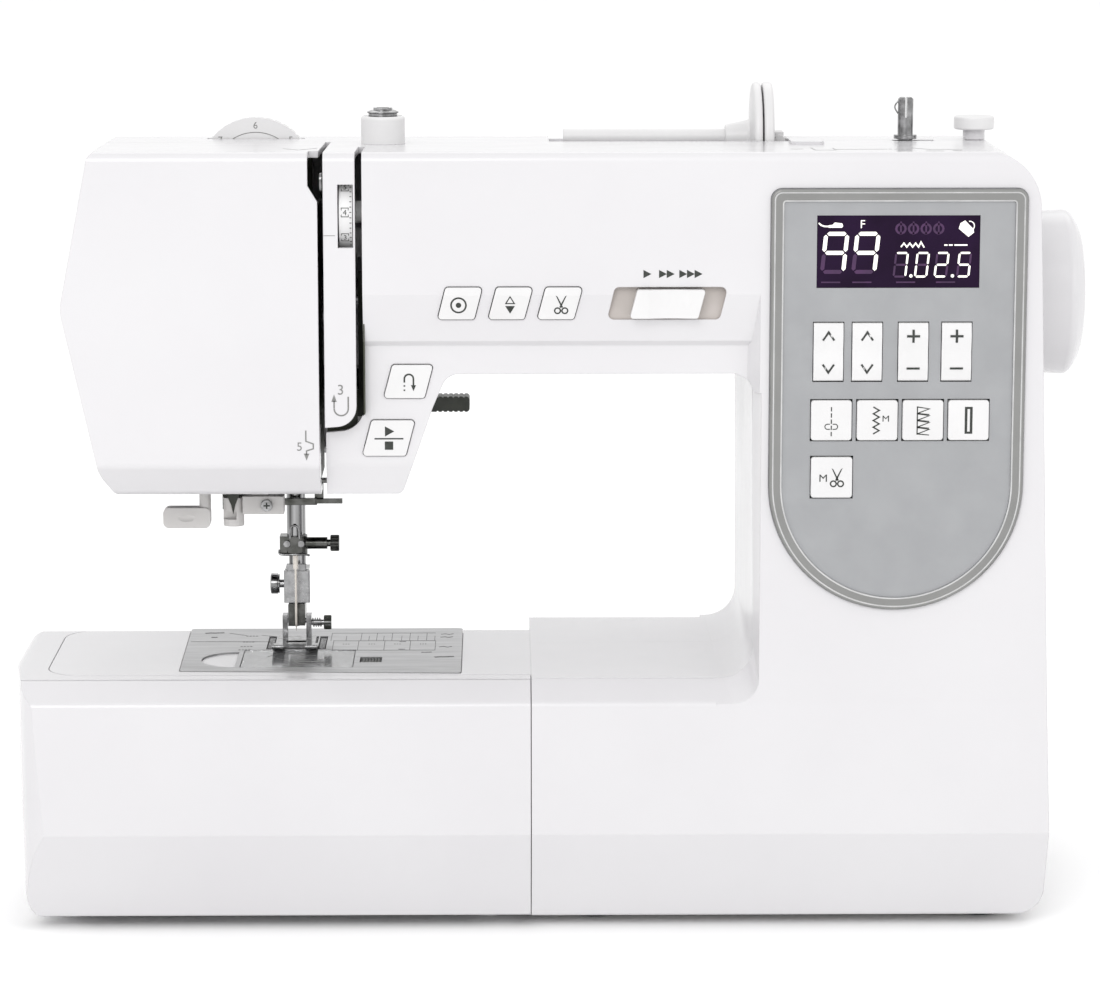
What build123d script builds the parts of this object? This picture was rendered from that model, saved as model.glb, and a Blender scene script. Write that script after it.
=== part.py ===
"""Household computerised sewing machine, built as separate named pieces.

Frame: millimetres, +Z up, +X to the operator's right, the operator stands at -Y.
The origin is at the middle of the footprint, on the surface that the feet stand on.
"""
import os

from build123d import *

# ---------------------------------------------------------------- driving dimensions
WALL = 2.5                # moulded cover thickness
GAP = 0.3                 # clearance between a moving piece and its neighbour
FRONT = -74.0             # plane of the front face
SPLIT_Y = 0.0             # front and rear covers meet here
ARM_REAR = 50.0           # rear face of arm and head
LIP_Y = 76.5              # the base's ridge, front and rear, sets the depth
TOP_FRONT_Z = 293.6       # top edge at the front face
TOP_REAR_Z = 290.0        # top surface at the rear, it falls slightly
ARM_BOTTOM_Z = 211.5
HEAD_BOTTOM_Z = 166.0
BED_Z = 96.0              # sewing surface
BEVEL_Z = 88.2            # lower edge of the bed's front bevel
BEVEL_Y = -64.5           # upper edge of the bed's front bevel
RIDGE_Z = 38.7            # ridge line round the base
SKIRT_Z = 4.0             # lower edge of the covers
SEAM_X = -7.5             # base and extension table meet here
COLUMN_X = 75.5           # column wall in the sewing space
FOOT_R = 12.0             # rounded corner between bed and column
FOOT_SPREAD = 1.6         # the column's front edge stands this far right of its wall
RIGHT_X = 186.3           # right side of the base
HEAD_LEFT_X = -180.0
SLOT_LEFT = -85.4         # right edge of the face cover
SLOT_RIGHT = -83.3        # left edge of the thread tongue
TONGUE_RIGHT = -71.7
RECESS_LEFT = -69.2       # right edge of the tension slot

NEEDLE_X = -98.3
NEEDLE_Y = -8.0
PRESSER_Y = 6.5
SHAFT_Y = 13.0            # arm shaft and handwheel axis
SHAFT_Z = 232.0
LOWER_Y = -7.1            # lower shaft axis
LOWER_Z = 62.0
HOOK_Y = -27.5            # rotary hook axis
MOTOR_Y = 42.0
MOTOR_Z = 44.0
SPOOL_Y = 24.0            # spool pin axis
SPOOL_Z = 291.5
WINDER_X = 137.0
WINDER_Y = 8.0

FREE_LEFT = -190.0        # free arm
FREE_FRONT = -58.0
FREE_REAR = 26.0
FREE_BOTTOM = 45.0
TABLE_LEFT = -206.5

PANEL_X = 126.9           # control panel centre line
PANEL_HALF = 46.9
PANEL_TOP = 280.4
PANEL_ARC_Z = 171.0       # centre of the panel's round lower end
BEZEL_W = 4.6
BEZEL_Y = -75.9
FASCIA_Y = -75.2
LEDGE_W = 7.0             # ledge of the front cover that the panel rests on
KEY_Y = -76.2             # front of the panel keys
KEY_BACK = -71.0


# ---------------------------------------------------------------- helpers
def block(x0, x1, y0, y1, z0, z1):
    """Box between two corners."""
    centre = ((x0 + x1) / 2, (y0 + y1) / 2, (z0 + z1) / 2)
    return Pos(*centre) * Box(x1 - x0, y1 - y0, z1 - z0)


def rod_x(radius, x0, x1, y, z):
    """Cylinder along X."""
    return Pos((x0 + x1) / 2, y, z) * Rot(0, 90, 0) * Cylinder(radius, x1 - x0)


def rod_y(radius, x, y0, y1, z):
    """Cylinder along Y."""
    return Pos(x, (y0 + y1) / 2, z) * Rot(90, 0, 0) * Cylinder(radius, y1 - y0)


def rod_z(radius, x, y, z0, z1):
    """Cylinder along Z."""
    return Pos(x, y, (z0 + z1) / 2) * Cylinder(radius, z1 - z0)


def outline(points, inset=0.0):
    """Closed face from (u, v, corner radius) points, shrunk by inset."""
    path = FilletPolyline(
        [(u, v) for u, v, _ in points], radius=[r for _, _, r in points], close=True
    )
    face = make_face(path)
    if inset:
        face = offset(face, amount=-inset, kind=Kind.INTERSECTION)
    return face


def prism_x(points, x0, x1, inset=0.0):
    """Outline in Y and Z carried along X."""
    return extrude(Plane.YZ.offset(x0) * outline(points, inset), amount=x1 - x0)


def prism_y(points, y0, y1, inset=0.0):
    """Outline in X and Z carried along Y."""
    return extrude(Plane.XZ.offset(-y1) * outline(points, inset), amount=y1 - y0)


def prism_z(points, z0, z1, inset=0.0):
    """Outline in X and Y carried along Z."""
    return extrude(Plane.XY.offset(z0) * outline(points, inset), amount=z1 - z0)


def sharp(points):
    """Give every corner a radius of zero."""
    return [(u, v, 0.0) for u, v in points]


def joined(shapes):
    """One shape from several."""
    total = shapes[0]
    for shape in shapes[1:]:
        total = total + shape
    return total


def group(shapes):
    """Separate solids that share one node."""
    return Compound(children=[solid for shape in shapes for solid in shape.solids()])


def tube_x(outer, inner, x0, x1, y, z):
    """Ring along X."""
    return rod_x(outer, x0, x1, y, z) - rod_x(inner, x0 - 1, x1 + 1, y, z)


# ---------------------------------------------------------------- casing outlines
# Front view of head, arm, column and base.
BODY_FRONT_VIEW = [
    (SEAM_X, SKIRT_Z, 0.0),
    (RIGHT_X - 0.6, SKIRT_Z, 11.0),
    (RIGHT_X, RIDGE_Z, 2.0),
    (179.6, 250.0, 40.0),
    (178.0, TOP_FRONT_Z + 0.2, 21.0),
    (-168.5, TOP_FRONT_Z + 0.7, 5.0),
    (HEAD_LEFT_X, 236.0, 16.0),
    (-166.5, 174.0, 14.0),
    (-161.0, HEAD_BOTTOM_Z - 0.4, 5.0),
    (-55.5, HEAD_BOTTOM_Z - 0.4, 4.0),
    (-43.8, 199.0, 9.0),
    (-38.5, ARM_BOTTOM_Z, 7.0),
    (COLUMN_X - 1.0, ARM_BOTTOM_Z, 8.0),
    (COLUMN_X, BED_Z, FOOT_R),
    (SEAM_X, BED_Z, 0.0),
]

# Side view of head and arm.
ARM_SIDE_VIEW = [
    (FRONT, TOP_FRONT_Z, 3.5),
    (FRONT, 178.0, 4.0),
    (FRONT + 9.0, HEAD_BOTTOM_Z, 5.0),
    (ARM_REAR - 3.0, HEAD_BOTTOM_Z, 6.0),
    (ARM_REAR, 190.0, 10.0),
    (ARM_REAR, TOP_REAR_Z, 9.0),
]

# Side view of column and base.
COLUMN_SIDE_VIEW = [
    (FRONT, TOP_FRONT_Z, 3.5),
    (FRONT, BEVEL_Z, 30.0),
    (-LIP_Y, RIDGE_Z, 1.5),
    (FRONT + 9.0, SKIRT_Z, 2.0),
    (LIP_Y - 9.0, SKIRT_Z, 2.0),
    (LIP_Y, RIDGE_Z, 1.5),
    (LIP_Y - 6.0, 72.0, 12.0),
    (ARM_REAR + 2.0, 95.0, 16.0),
    (ARM_REAR, 125.0, 60.0),
    (ARM_REAR, TOP_REAR_Z, 9.0),
]

# Side view of the base left of the column.
BASE_SIDE_VIEW = [
    (BEVEL_Y, BED_Z, 1.5),
    (FRONT, BEVEL_Z, 3.0),
    (-LIP_Y, RIDGE_Z, 1.5),
    (FRONT + 9.0, SKIRT_Z, 2.0),
    (LIP_Y - 9.0, SKIRT_Z, 2.0),
    (LIP_Y, RIDGE_Z, 1.5),
    (LIP_Y - 6.0, 72.0, 12.0),
    (ARM_REAR + 4.0, BED_Z, 14.0),
]

# Plan of the base, its rear left corner is rounded.
BASE_PLAN = [
    (SEAM_X, -90.0, 0.0),
    (200.0, -90.0, 0.0),
    (RIGHT_X + 1.0, LIP_Y + 1.0, 16.0),
    (SEAM_X, LIP_Y + 1.0, 30.0),
]


# Side view of the hollow under the arm's front face.
RECESS_SIDE_VIEW = [
    (FRONT - 8.0, 241.6, 0.0),
    (FRONT, 241.6, 0.0),
    (FRONT + 4.5, 224.0, 1.0),
    (FRONT + 6.6, 222.0, 1.0),
    (FRONT + 7.6, 178.0, 10.0),
    (FRONT + 13.0, HEAD_BOTTOM_Z - 4.0, 0.0),
    (FRONT - 8.0, HEAD_BOTTOM_Z - 4.0, 0.0),
]

# Front view of that hollow, it runs round the foot of the thread tongue.
RECESS_FRONT_VIEW = [
    (SLOT_LEFT + 0.6, HEAD_BOTTOM_Z - 6.0, 0.0),
    (COLUMN_X + 4.0, HEAD_BOTTOM_Z - 6.0, 0.0),
    (COLUMN_X + 4.0, 246.0, 0.0),
    (RECESS_LEFT, 246.0, 0.0),
    (RECESS_LEFT, 191.0, 9.0),
    (SLOT_LEFT + 0.6, 190.0, 0.0),
]

# Plan of that hollow, it runs out towards the column.
RECESS_PLAN = [
    (SLOT_LEFT + 0.6, FRONT - 8.0, 0.0),
    (COLUMN_X + 3.0, FRONT - 8.0, 0.0),
    (COLUMN_X + 1.0, FRONT, 6.0),
    (COLUMN_X - 9.0, FRONT + 16.0, 0.0),
    (SLOT_LEFT + 0.6, FRONT + 16.0, 0.0),
]


def arm_hollow(inset):
    """Space in front of the slanted lower face of arm and head."""
    side = prism_x(RECESS_SIDE_VIEW, SLOT_LEFT + 0.6 - inset, COLUMN_X + 4.0, -inset)
    front_view = prism_y(RECESS_FRONT_VIEW, FRONT - 10.0, FRONT + 18.0, -inset)
    plan = prism_z(RECESS_PLAN, HEAD_BOTTOM_Z - 6.0, 246.0, -inset)
    return side & front_view & plan


def foot_bevel(inset):
    """Space in front of the bevel that sweeps round the foot of the column."""
    depth = BEVEL_Y - FRONT
    drop = (BED_Z - BEVEL_Z) / depth
    spread = FOOT_SPREAD / depth
    sections = []
    for y in (BEVEL_Y + 5.0, FRONT - 5.0):
        run = BEVEL_Y - y
        x = COLUMN_X + run * spread + inset * (1 + spread**2) ** 0.5
        z = BED_Z - run * drop - inset * (1 + drop**2) ** 0.5
        radius = FOOT_R - 0.3 * run + inset
        points = [(40.0, z, 0.0), (x, z, radius), (x, 205.0, 0.0), (40.0, 205.0, 0.0)]
        sections.append(Plane.XZ.offset(-y) * outline(points))
    return loft(sections, ruled=True)


def casing(inset):
    """Outer form of head, arm, column and base, shrunk by inset."""
    front_view = prism_y(BODY_FRONT_VIEW, -90.0, 90.0, inset)
    arm = prism_x(ARM_SIDE_VIEW, HEAD_LEFT_X - 2, COLUMN_X + 8, inset)
    column = prism_x(COLUMN_SIDE_VIEW, COLUMN_X - FOOT_R - 2.0, 190.0, inset)
    column = column - foot_bevel(inset)
    arm = arm - foot_bevel(inset)
    base = prism_x(BASE_SIDE_VIEW, SEAM_X - 1.0, COLUMN_X - FOOT_R, inset)
    base = base & block(-20.0, 100.0, -90.0, 90.0, 0.0, 130.0)
    plan = prism_z(BASE_PLAN, 0.0, 200.0, inset)
    lower = (column + base) & (plan + block(-20.0, 200.0, -90.0, 90.0, 150.0, 300.0))
    return ((arm + lower) & front_view) - arm_hollow(inset)


# ---------------------------------------------------------------- covers
def panel_outline(grow, y0, y1):
    """Control panel outline: straight sides over a round lower end."""
    half = PANEL_HALF + grow
    upper = block(
        PANEL_X - half, PANEL_X + half, y0, y1, PANEL_ARC_Z, PANEL_TOP + grow
    )
    corners = upper.edges().filter_by(Axis.Y).group_by(Axis.Z)[-1]
    upper = fillet(corners, max(4.0 + grow, 1.0))
    return upper + rod_y(half, PANEL_X, y0, y1, PANEL_ARC_Z)


def leaning(x_top, x_bottom, width, z_bottom, z_top, radius=1.2):
    """Corner points of a button outline that leans to the right."""
    return [
        (x_bottom, z_bottom, radius),
        (x_bottom + width, z_bottom, radius),
        (x_top + width, z_top, radius),
        (x_top, z_top, radius),
    ]


# Leaning buttons on the arm and the head: name, top x, bottom x, width, bottom z, top z.
BUTTONS = [
    ("lock_button", -38.8, -41.8, 13.4, 232.4, 244.4),
    ("needle_position_button", -20.2, -23.3, 13.2, 232.4, 244.4),
    ("thread_cut_button", -2.2, -5.3, 13.4, 232.4, 244.4),
    ("reverse_button", -58.6, -61.9, 15.0, 202.6, 215.0),
    ("start_stop_button", -66.4, -69.9, 16.0, 181.0, 194.3),
]
SLIDER_SLOT = leaning(23.1, 20.3, 41.3, 232.2, 244.4, 2.0)
SLIDER_KNOB = leaning(31.3, 28.5, 25.0, 233.0, 243.6, 1.0)
SLIDER_DEPTH = 3.2

# Keys on the control panel: name, left x, bottom z, width, height.
ROCKER_KEYS = [
    ("pattern_tens_key", 95.9, 209.8, 10.9, 21.5),
    ("pattern_units_key", 110.1, 209.8, 10.9, 21.5),
    ("stitch_width_key", 127.0, 209.8, 10.9, 21.5),
    ("stitch_length_key", 142.9, 209.8, 10.9, 21.5),
]
SQUARE_KEYS = [
    ("straight_stitch_key", 95.2, 187.8, 15.0, 14.9),
    ("zigzag_stitch_key", 112.1, 187.8, 15.0, 14.9),
    ("overcast_stitch_key", 128.9, 187.8, 15.0, 14.9),
    ("buttonhole_key", 145.7, 187.8, 15.0, 14.9),
    ("memory_key", 95.4, 166.4, 15.3, 15.2),
]
DISPLAY = (96.8, 156.2, 244.2, 270.6)      # left, right, bottom, top


def shell():
    """Moulded skin of head, arm, column and base."""
    return casing(0.0) - casing(WALL)


def tension_window():
    """Window in the thread tongue that shows the tension dial."""
    return block(-78.0, -72.4, FRONT - 2, FRONT + 6, 258.9, 282.0)


def tongue_slot():
    """Slot right of the thread tongue, it turns in under the tongue's foot."""
    slot = block(TONGUE_RIGHT, RECESS_LEFT, FRONT - 2, -34.0, 196.0, 300.0)
    foot = prism_y(
        [
            (SLOT_LEFT, 189.5, 0.0),
            (RECESS_LEFT, 191.0, 9.0),
            (RECESS_LEFT, 204.0, 0.0),
            (TONGUE_RIGHT, 204.0, 0.0),
            (TONGUE_RIGHT, 193.4, 7.5),
            (SLOT_LEFT, 192.4, 0.0),
        ],
        FRONT - 2,
        FRONT + 12,
    )
    return slot + foot


def front_cover(skin):
    """Front half of the casing, from the thread slot to the right side."""
    cover = skin & block(SLOT_RIGHT, 200.0, -90.0, SPLIT_Y, 0.0, 300.0)
    cuts = [tongue_slot(), tension_window()]
    cuts.append(panel_outline(GAP / 2, BEZEL_Y - 4, FRONT + 1.2))
    cuts.append(panel_outline(-LEDGE_W, BEZEL_Y - 4, FRONT + 6))
    for _, top, bottom, width, z0, z1 in BUTTONS:
        hole = leaning(top, bottom, width, z0, z1)
        cuts.append(prism_y(hole, FRONT - 2, FRONT + 16, -GAP))
    slot = prism_y(SLIDER_SLOT, FRONT - 2, FRONT + SLIDER_DEPTH)
    floor = prism_y(SLIDER_SLOT, FRONT + 0.5, FRONT + SLIDER_DEPTH + 2.0, -1.5)
    rail_slot = block(31.2, 52.8, FRONT, FRONT + 9, 236.5, 240.0)
    cuts.append(head_floor_opening())
    cuts.append(free_arm_opening())
    cover = cover - joined(cuts)
    cover = cover + (floor - arm_hollow(0.0))
    return cover - slot - rail_slot


def head_floor_opening():
    """Opening in the head's floor for needle bar, presser bar and threader."""
    return block(-150.0, -62.0, -52.0, 32.0, HEAD_BOTTOM_Z - 3, HEAD_BOTTOM_Z + 7)


def free_arm_opening():
    """Opening in the base's left wall where the free arm starts."""
    return block(SEAM_X - 2, SEAM_X + 5, -55.8, 23.8, 47.2, 93.8)


SPOOL_TROUGH = [
    (SPOOL_Y - 21.7, 300.0, 0.0),
    (SPOOL_Y - 21.7, SPOOL_Z - 22.4, 17.0),
    (SPOOL_Y + 21.7, SPOOL_Z - 22.4, 17.0),
    (SPOOL_Y + 21.7, 300.0, 0.0),
]
TROUGH_X = (0.0, 93.0)
SCREWS = [(-110.0, 240.0), (10.0, 240.0), (148.0, 250.0), (146.0, 165.0), (92.0, 165.0)]
DIAL_X = -113.6
DIAL_Z = 276.7
DIAL_R = 22.2
DIAL_Y = 24.0
DIAL_T = 6.0
LIFTER_X = -82.0
LIFTER_Z = 188.0
STOPPER_X = 164.0
STOPPER_Y = 13.0
INLET = (24.0, 52.0, 50.0, 70.0)           # rear y, front y, bottom z, top z
SWITCH = (-22.0, -2.0, 50.0, 64.0)


def rear_cover(skin):
    """Rear half of the casing with the spool trough."""
    cover = skin & block(-200.0, 200.0, SPLIT_Y, 90.0, 0.0, 300.0)
    trough = prism_x(SPOOL_TROUGH, TROUGH_X[0] - 2, TROUGH_X[1] + 2, -2.0)
    trough = trough & casing(0.0) & block(-9.0, 99.0, SPLIT_Y, 90.0, 0.0, 300.0)
    cover = cover + trough
    cuts = [prism_x(SPOOL_TROUGH, *TROUGH_X)]
    cuts.append(block(DIAL_X - 19, DIAL_X + 19, DIAL_Y - 0.6, DIAL_Y + DIAL_T + 0.6, 282, 300))
    cuts.append(block(WINDER_X - 5, WINDER_X + 11, WINDER_Y - 4.2, WINDER_Y + 4.2, 284, 300))
    cuts.append(rod_z(3.2, STOPPER_X, STOPPER_Y, 280, 300))
    cuts.append(rod_x(7.0, 170, 200, SHAFT_Y, SHAFT_Z))
    cuts.append(rod_y(4.3, LIFTER_X, 40, 60, LIFTER_Z))
    cuts.append(block(180, 190, *INLET))
    for x, z in SCREWS:
        cuts.append(rod_y(1.8, x, 40, 60, z))
    cuts.append(head_floor_opening())
    cuts.append(free_arm_opening())
    return cover - joined(cuts)


def face_cover(skin):
    """Left end of the head, it swings open on a pin at its rear corner."""
    cover = skin & block(-200.0, SLOT_LEFT, -90.0, SPLIT_Y - GAP, 0.0, 300.0)
    lever_notch = prism_y(
        sharp([(SLOT_LEFT + 1, 274.0), (SLOT_LEFT + 1, 300.0), (-88.9, 300.0), (-88.9, 281.5)]),
        FRONT - 2,
        FRONT + 12,
    )
    cover = cover - lever_notch - head_floor_opening()
    for z in (212.0, 250.0):
        ear = block(-178.4, -172.4, SPLIT_Y - 6.0, SPLIT_Y - GAP, z, z + 6.0)
        cover = cover + (ear & casing(0.5))
    return cover


def bottom_opening():
    """Opening in the base's underside for the base plate."""
    return block(0.0, 178.0, -58.0, 62.0, 0.0, 9.0)


# ---------------------------------------------------------------- free arm and table
FREE_SIDE_VIEW = [
    (FREE_FRONT, FREE_BOTTOM, 6.0),
    (FREE_REAR, FREE_BOTTOM, 9.0),
    (FREE_REAR, BED_Z, 3.0),
    (FREE_FRONT, BED_Z, 1.0),
]
FREE_PLAN = [
    (FREE_LEFT, FREE_FRONT, 14.0),
    (SEAM_X, FREE_FRONT, 0.0),
    (SEAM_X, FREE_REAR, 0.0),
    (FREE_LEFT, FREE_REAR, 16.0),
]
PLATE_PLAN = [
    (-140.2, -51.0, 1.0),
    (-34.0, -55.3, 1.0),
    (-34.0, FREE_REAR - 0.2, 2.0),
    (-141.5, FREE_REAR - 0.2, 2.0),
]
PLATE_T = 2.0
PLATE_TOP = BED_Z + 0.3
BOBBIN_WINDOW = (-118.0, -75.0, -45.5, -14.0)      # left, right, front, rear
RELEASE_HOLE = (-72.8, -64.4, -36.8, -27.4)
DOG_OFFSETS = (-10.0, -6.4, 6.4, 10.0)


def free_arm_form(inset):
    """Outer form of the free arm, shrunk by inset."""
    length = prism_x(FREE_SIDE_VIEW, FREE_LEFT - 1, SEAM_X + 4, inset)
    return length & prism_z(FREE_PLAN, 0.0, 120.0, inset)


def free_arm_cover():
    """Sleeve round the bed that carries cuffs and trouser legs."""
    hollow = free_arm_form(2.2) + block(SEAM_X - 8, SEAM_X + 4, -55.8, 23.8, 47.2, 93.8)
    cover = free_arm_form(0.0) - hollow
    opening = prism_z(PLATE_PLAN, PLATE_TOP - PLATE_T, 110.0, -0.25)
    inside = prism_z(PLATE_PLAN, 90.0, 110.0, 3.2)
    rear_gap = block(-141.7, -33.8, FREE_REAR - 5, FREE_REAR + 2, PLATE_TOP - PLATE_T, 110)
    return cover - opening - inside - rear_gap


def needle_plate():
    """Steel stitch plate with slots for feed dog and needle."""
    plate = prism_z(PLATE_PLAN, PLATE_TOP - PLATE_T, PLATE_TOP)
    x0, x1, y0, y1 = BOBBIN_WINDOW
    cuts = [block(x0, x1, y0, y1, 90, 100)]
    cuts.append(block(*RELEASE_HOLE, 90, 100))
    for dx in DOG_OFFSETS:
        x = NEEDLE_X + dx
        cuts.append(block(x - 1.5, x + 1.5, -13.2, 10.8, 90, 100))
    slot = block(NEEDLE_X - 3.5, NEEDLE_X + 3.5, NEEDLE_Y - 1, NEEDLE_Y + 1, 90, 100)
    slot = slot + rod_z(1.0, NEEDLE_X - 3.5, NEEDLE_Y, 90, 100)
    slot = slot + rod_z(1.0, NEEDLE_X + 3.5, NEEDLE_Y, 90, 100)
    cuts.append(slot)
    notch = rod_z(13.6, -119.8, -31.5, 90, 100) & block(-134, -119.8, -46, -17.5, 90, 100)
    cuts.append(notch)
    return plate - joined(cuts)


def bobbin_cover():
    """Clear drop-in cover over the bobbin."""
    x0, x1, y0, y1 = BOBBIN_WINDOW
    c = 0.25
    cover = block(x0 + c, x1 - c, y0 + c, y1 - c, PLATE_TOP - 1.6, PLATE_TOP - 0.1)
    corners = cover.edges().filter_by(Axis.Z)
    return fillet(corners, 1.5)


TABLE_FRONT_VIEW = [
    (SEAM_X - GAP, SKIRT_Z, 0.0),
    (SEAM_X - GAP, BED_Z, 0.0),
    (TABLE_LEFT + 2.4, BED_Z, 5.0),
    (TABLE_LEFT, 80.0, 14.0),
    (TABLE_LEFT, RIDGE_Z + 1, 8.0),
    (TABLE_LEFT + 5.4, 31.0, 2.0),
    (TABLE_LEFT + 10.5, SKIRT_Z, 7.0),
]
TABLE_SIDE_VIEW = [
    (BEVEL_Y, BED_Z, 1.5),
    (FRONT, BEVEL_Z, 3.0),
    (-LIP_Y, RIDGE_Z, 1.5),
    (FRONT + 9.0, SKIRT_Z, 2.0),
    (FREE_REAR, SKIRT_Z, 3.0),
    (FREE_REAR, BED_Z, 3.0),
]
TABLE_PLAN = [
    (SEAM_X - GAP, -LIP_Y - 1, 0.0),
    (TABLE_LEFT + 10.0, -LIP_Y - 1, 14.0),
    (TABLE_LEFT - 0.4, -8.0, 110.0),
    (TABLE_LEFT + 1.5, FREE_REAR + 1, 16.0),
    (SEAM_X - GAP, FREE_REAR + 1, 0.0),
]
LID_AXIS = (-61.8, 7.4)                    # y and z of the lid's hinge line
LID_EARS = (-186.0, -20.0)                 # left side of each hinge ear
EAR_R = 1.8
LID_LOW_Z = 4.6
LID_SWEEP = 4.9                            # room behind the hinge for the lid's lower edge
STORE_TOP = 42.0


def table_form(inset):
    """Outer form of the extension table with its lid, shrunk by inset."""
    form = prism_x(TABLE_SIDE_VIEW, TABLE_LEFT - 2, SEAM_X + 1, inset)
    form = form & prism_y(TABLE_FRONT_VIEW, -90.0, 90.0, inset)
    return form & prism_z(TABLE_PLAN, 0.0, 120.0, inset)


def table_lid():
    """Front of the extension table, it folds down in front of the storage."""
    zone = block(TABLE_LEFT - 2, SEAM_X, -90.0, BEVEL_Y - GAP, LID_LOW_Z, 120.0)
    lid = (table_form(0.0) - table_form(WALL)) & zone
    y, z = LID_AXIS
    left, right = LID_EARS
    knuckles = []
    for x0, x1 in ((left + 4.8, left + 9.0), (right - 4.4, right - 0.2)):
        web = block(x0, x1, y - 5.0, y, z - 2.0, z + 2.0) & table_form(0.0)
        knuckles.append(rod_x(2.0, x0, x1, y, z) + web)
    knuckles.append(rod_x(1.3, left, left + 6.0, y, z))
    knuckles.append(rod_x(1.3, right - 2.0, right + 4.6, y, z))
    return lid + joined(knuckles)


def extension_table():
    """Sliding table round the free arm, with the accessory storage inside."""
    body = table_form(0.0) & block(TABLE_LEFT - 2, SEAM_X, BEVEL_Y, 90.0, 0.0, 120.0)
    c = GAP
    notch = free_arm_form(-c) + block(-160, SEAM_X + 2, FREE_FRONT - c, 40, FREE_BOTTOM - c, 120)
    notch = notch + block(-170, SEAM_X + 2, FREE_REAR - 10, 40, FREE_BOTTOM - c, 120)
    left, right = TABLE_LEFT + 3.2, SEAM_X - GAP - WALL
    sweep_y = LID_AXIS[0] + LID_SWEEP
    cuts = [notch]
    cuts.append(block(left + 6, right, -90, FREE_REAR - WALL, 6.5, STORE_TOP) & table_form(WALL))
    cuts.append(block(left, right, BEVEL_Y - 1, FREE_FRONT - c - WALL, STORE_TOP - 1, 93.5))
    end_room = block(left, FREE_LEFT - c - 2.4, BEVEL_Y - 1, FREE_REAR - WALL, STORE_TOP - 1, 93.5)
    cuts.append(end_room & table_form(WALL))
    cuts.append(block(TABLE_LEFT - 2, SEAM_X, -90, sweep_y, 0, LID_AXIS[1] + LID_SWEEP))
    cuts.append(block(left + 8, right, -90, -50, 6.5, STORE_TOP))
    body = body - joined(cuts)
    y, z = LID_AXIS
    for x in LID_EARS:
        x0, x1 = x + 0.3, x + 4.3
        ear = rod_x(EAR_R, x0, x1, y, z) + block(x0, x1, y, sweep_y + 4, z - EAR_R, z + EAR_R)
        ear = ear + block(x0, x1, sweep_y + 0.2, sweep_y + 4, 5.0, z)
        body = body + ear - rod_x(1.38, x - 1, x + 6, y, z)
    pads = [(-184.0, -46.0), (-184.0, 16.0), (-24.0, -46.0), (-24.0, 16.0)]
    return body + joined([rod_z(5.0, px, py, 0.0, 6.0) for px, py in pads])


# ---------------------------------------------------------------- control panel and keys
def key_forms():
    """Every key and button with its name."""
    forms = {}
    skin = prism_x(
        sharp(
            [
                (FRONT - 0.9, 300.0),
                (FRONT - 0.9, 241.4),
                (FRONT + 3.6, 223.8),
                (FRONT + 5.7, 221.8),
                (FRONT + 6.6, 178.0),
                (-61.5, 170.0),
                (-61.5, 300.0),
            ]
        ),
        -90.0,
        70.0,
    )
    for name, top, bottom, width, z0, z1 in BUTTONS:
        cap = prism_y(leaning(top, bottom, width, z0, z1), FRONT - 2, -61.5) & skin
        forms[name] = cap
    for name, x, z, width, height in ROCKER_KEYS:
        side = [
            (KEY_Y + 0.9, z, 0.8),
            (KEY_Y, z + 5.0, 6.0),
            (KEY_Y + 0.7, z + height / 2, 8.0),
            (KEY_Y, z + height - 5.0, 6.0),
            (KEY_Y + 0.9, z + height, 0.8),
            (KEY_BACK, z + height, 0.0),
            (KEY_BACK, z, 0.0),
        ]
        trunnion = rod_x(0.8, x - 1.2, x + width + 1.2, KEY_BACK - 0.8, z + height / 2)
        forms[name] = prism_x(side, x, x + width) + trunnion
    for name, x, z, width, height in SQUARE_KEYS:
        cap = block(x, x + width, KEY_Y, KEY_BACK, z, z + height)
        cap = fillet(cap.edges().filter_by(Axis.Y), 1.2)
        rim = cap.faces().sort_by(Axis.Y)[0].edges()
        forms[name] = fillet(rim, 0.5)
    return forms


def control_panel():
    """Silver frame and grey fascia, two pieces."""
    seat = FRONT + 1.2
    bezel = panel_outline(0.0, BEZEL_Y, seat)
    rim = bezel.faces().sort_by(Axis.Y)[0].outer_wire().edges()
    bezel = fillet(rim, 0.9) - panel_outline(-BEZEL_W, BEZEL_Y - 1, seat + 1)
    fascia = panel_outline(-BEZEL_W - 0.05, FASCIA_Y, seat)
    cuts = []
    for _, x, z, width, height in ROCKER_KEYS + SQUARE_KEYS:
        cuts.append(block(x - GAP, x + width + GAP, -80, -70, z - GAP - 0.1, z + height + GAP + 0.1))
    x0, x1, z0, z1 = DISPLAY
    cuts.append(block(x0 - 0.1, x1 + 0.1, -80, -70, z0 - 0.1, z1 + 0.1))
    return group([bezel, fascia - joined(cuts)])


def display_window():
    """Tinted window over the display."""
    x0, x1, z0, z1 = DISPLAY
    return block(x0, x1, FASCIA_Y + 0.1, FRONT + 1.2, z0, z1)


def circuit_boards():
    """Main board with the display module, and the board behind the arm's buttons."""
    main = block(88.0, 166.0, -66.6, -65.0, 150.0, 276.0)
    x0, x1, z0, z1 = DISPLAY
    module = block(x0 - 1, x1 + 1, -71.2, -66.6, z0 - 1, z1 + 1)
    arm = block(-46.0, 68.0, -59.8, -58.2, 226.0, 252.0)
    supply = block(20.0, 76.0, 20.0, 56.0, 9.0, 10.6)
    parts = [main + module, arm, supply]
    parts = parts + [rod_z(6.0, 30.0 + 15.0 * i, 38.0, 10.6, 26.0) for i in range(3)]
    return group(parts)


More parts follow.
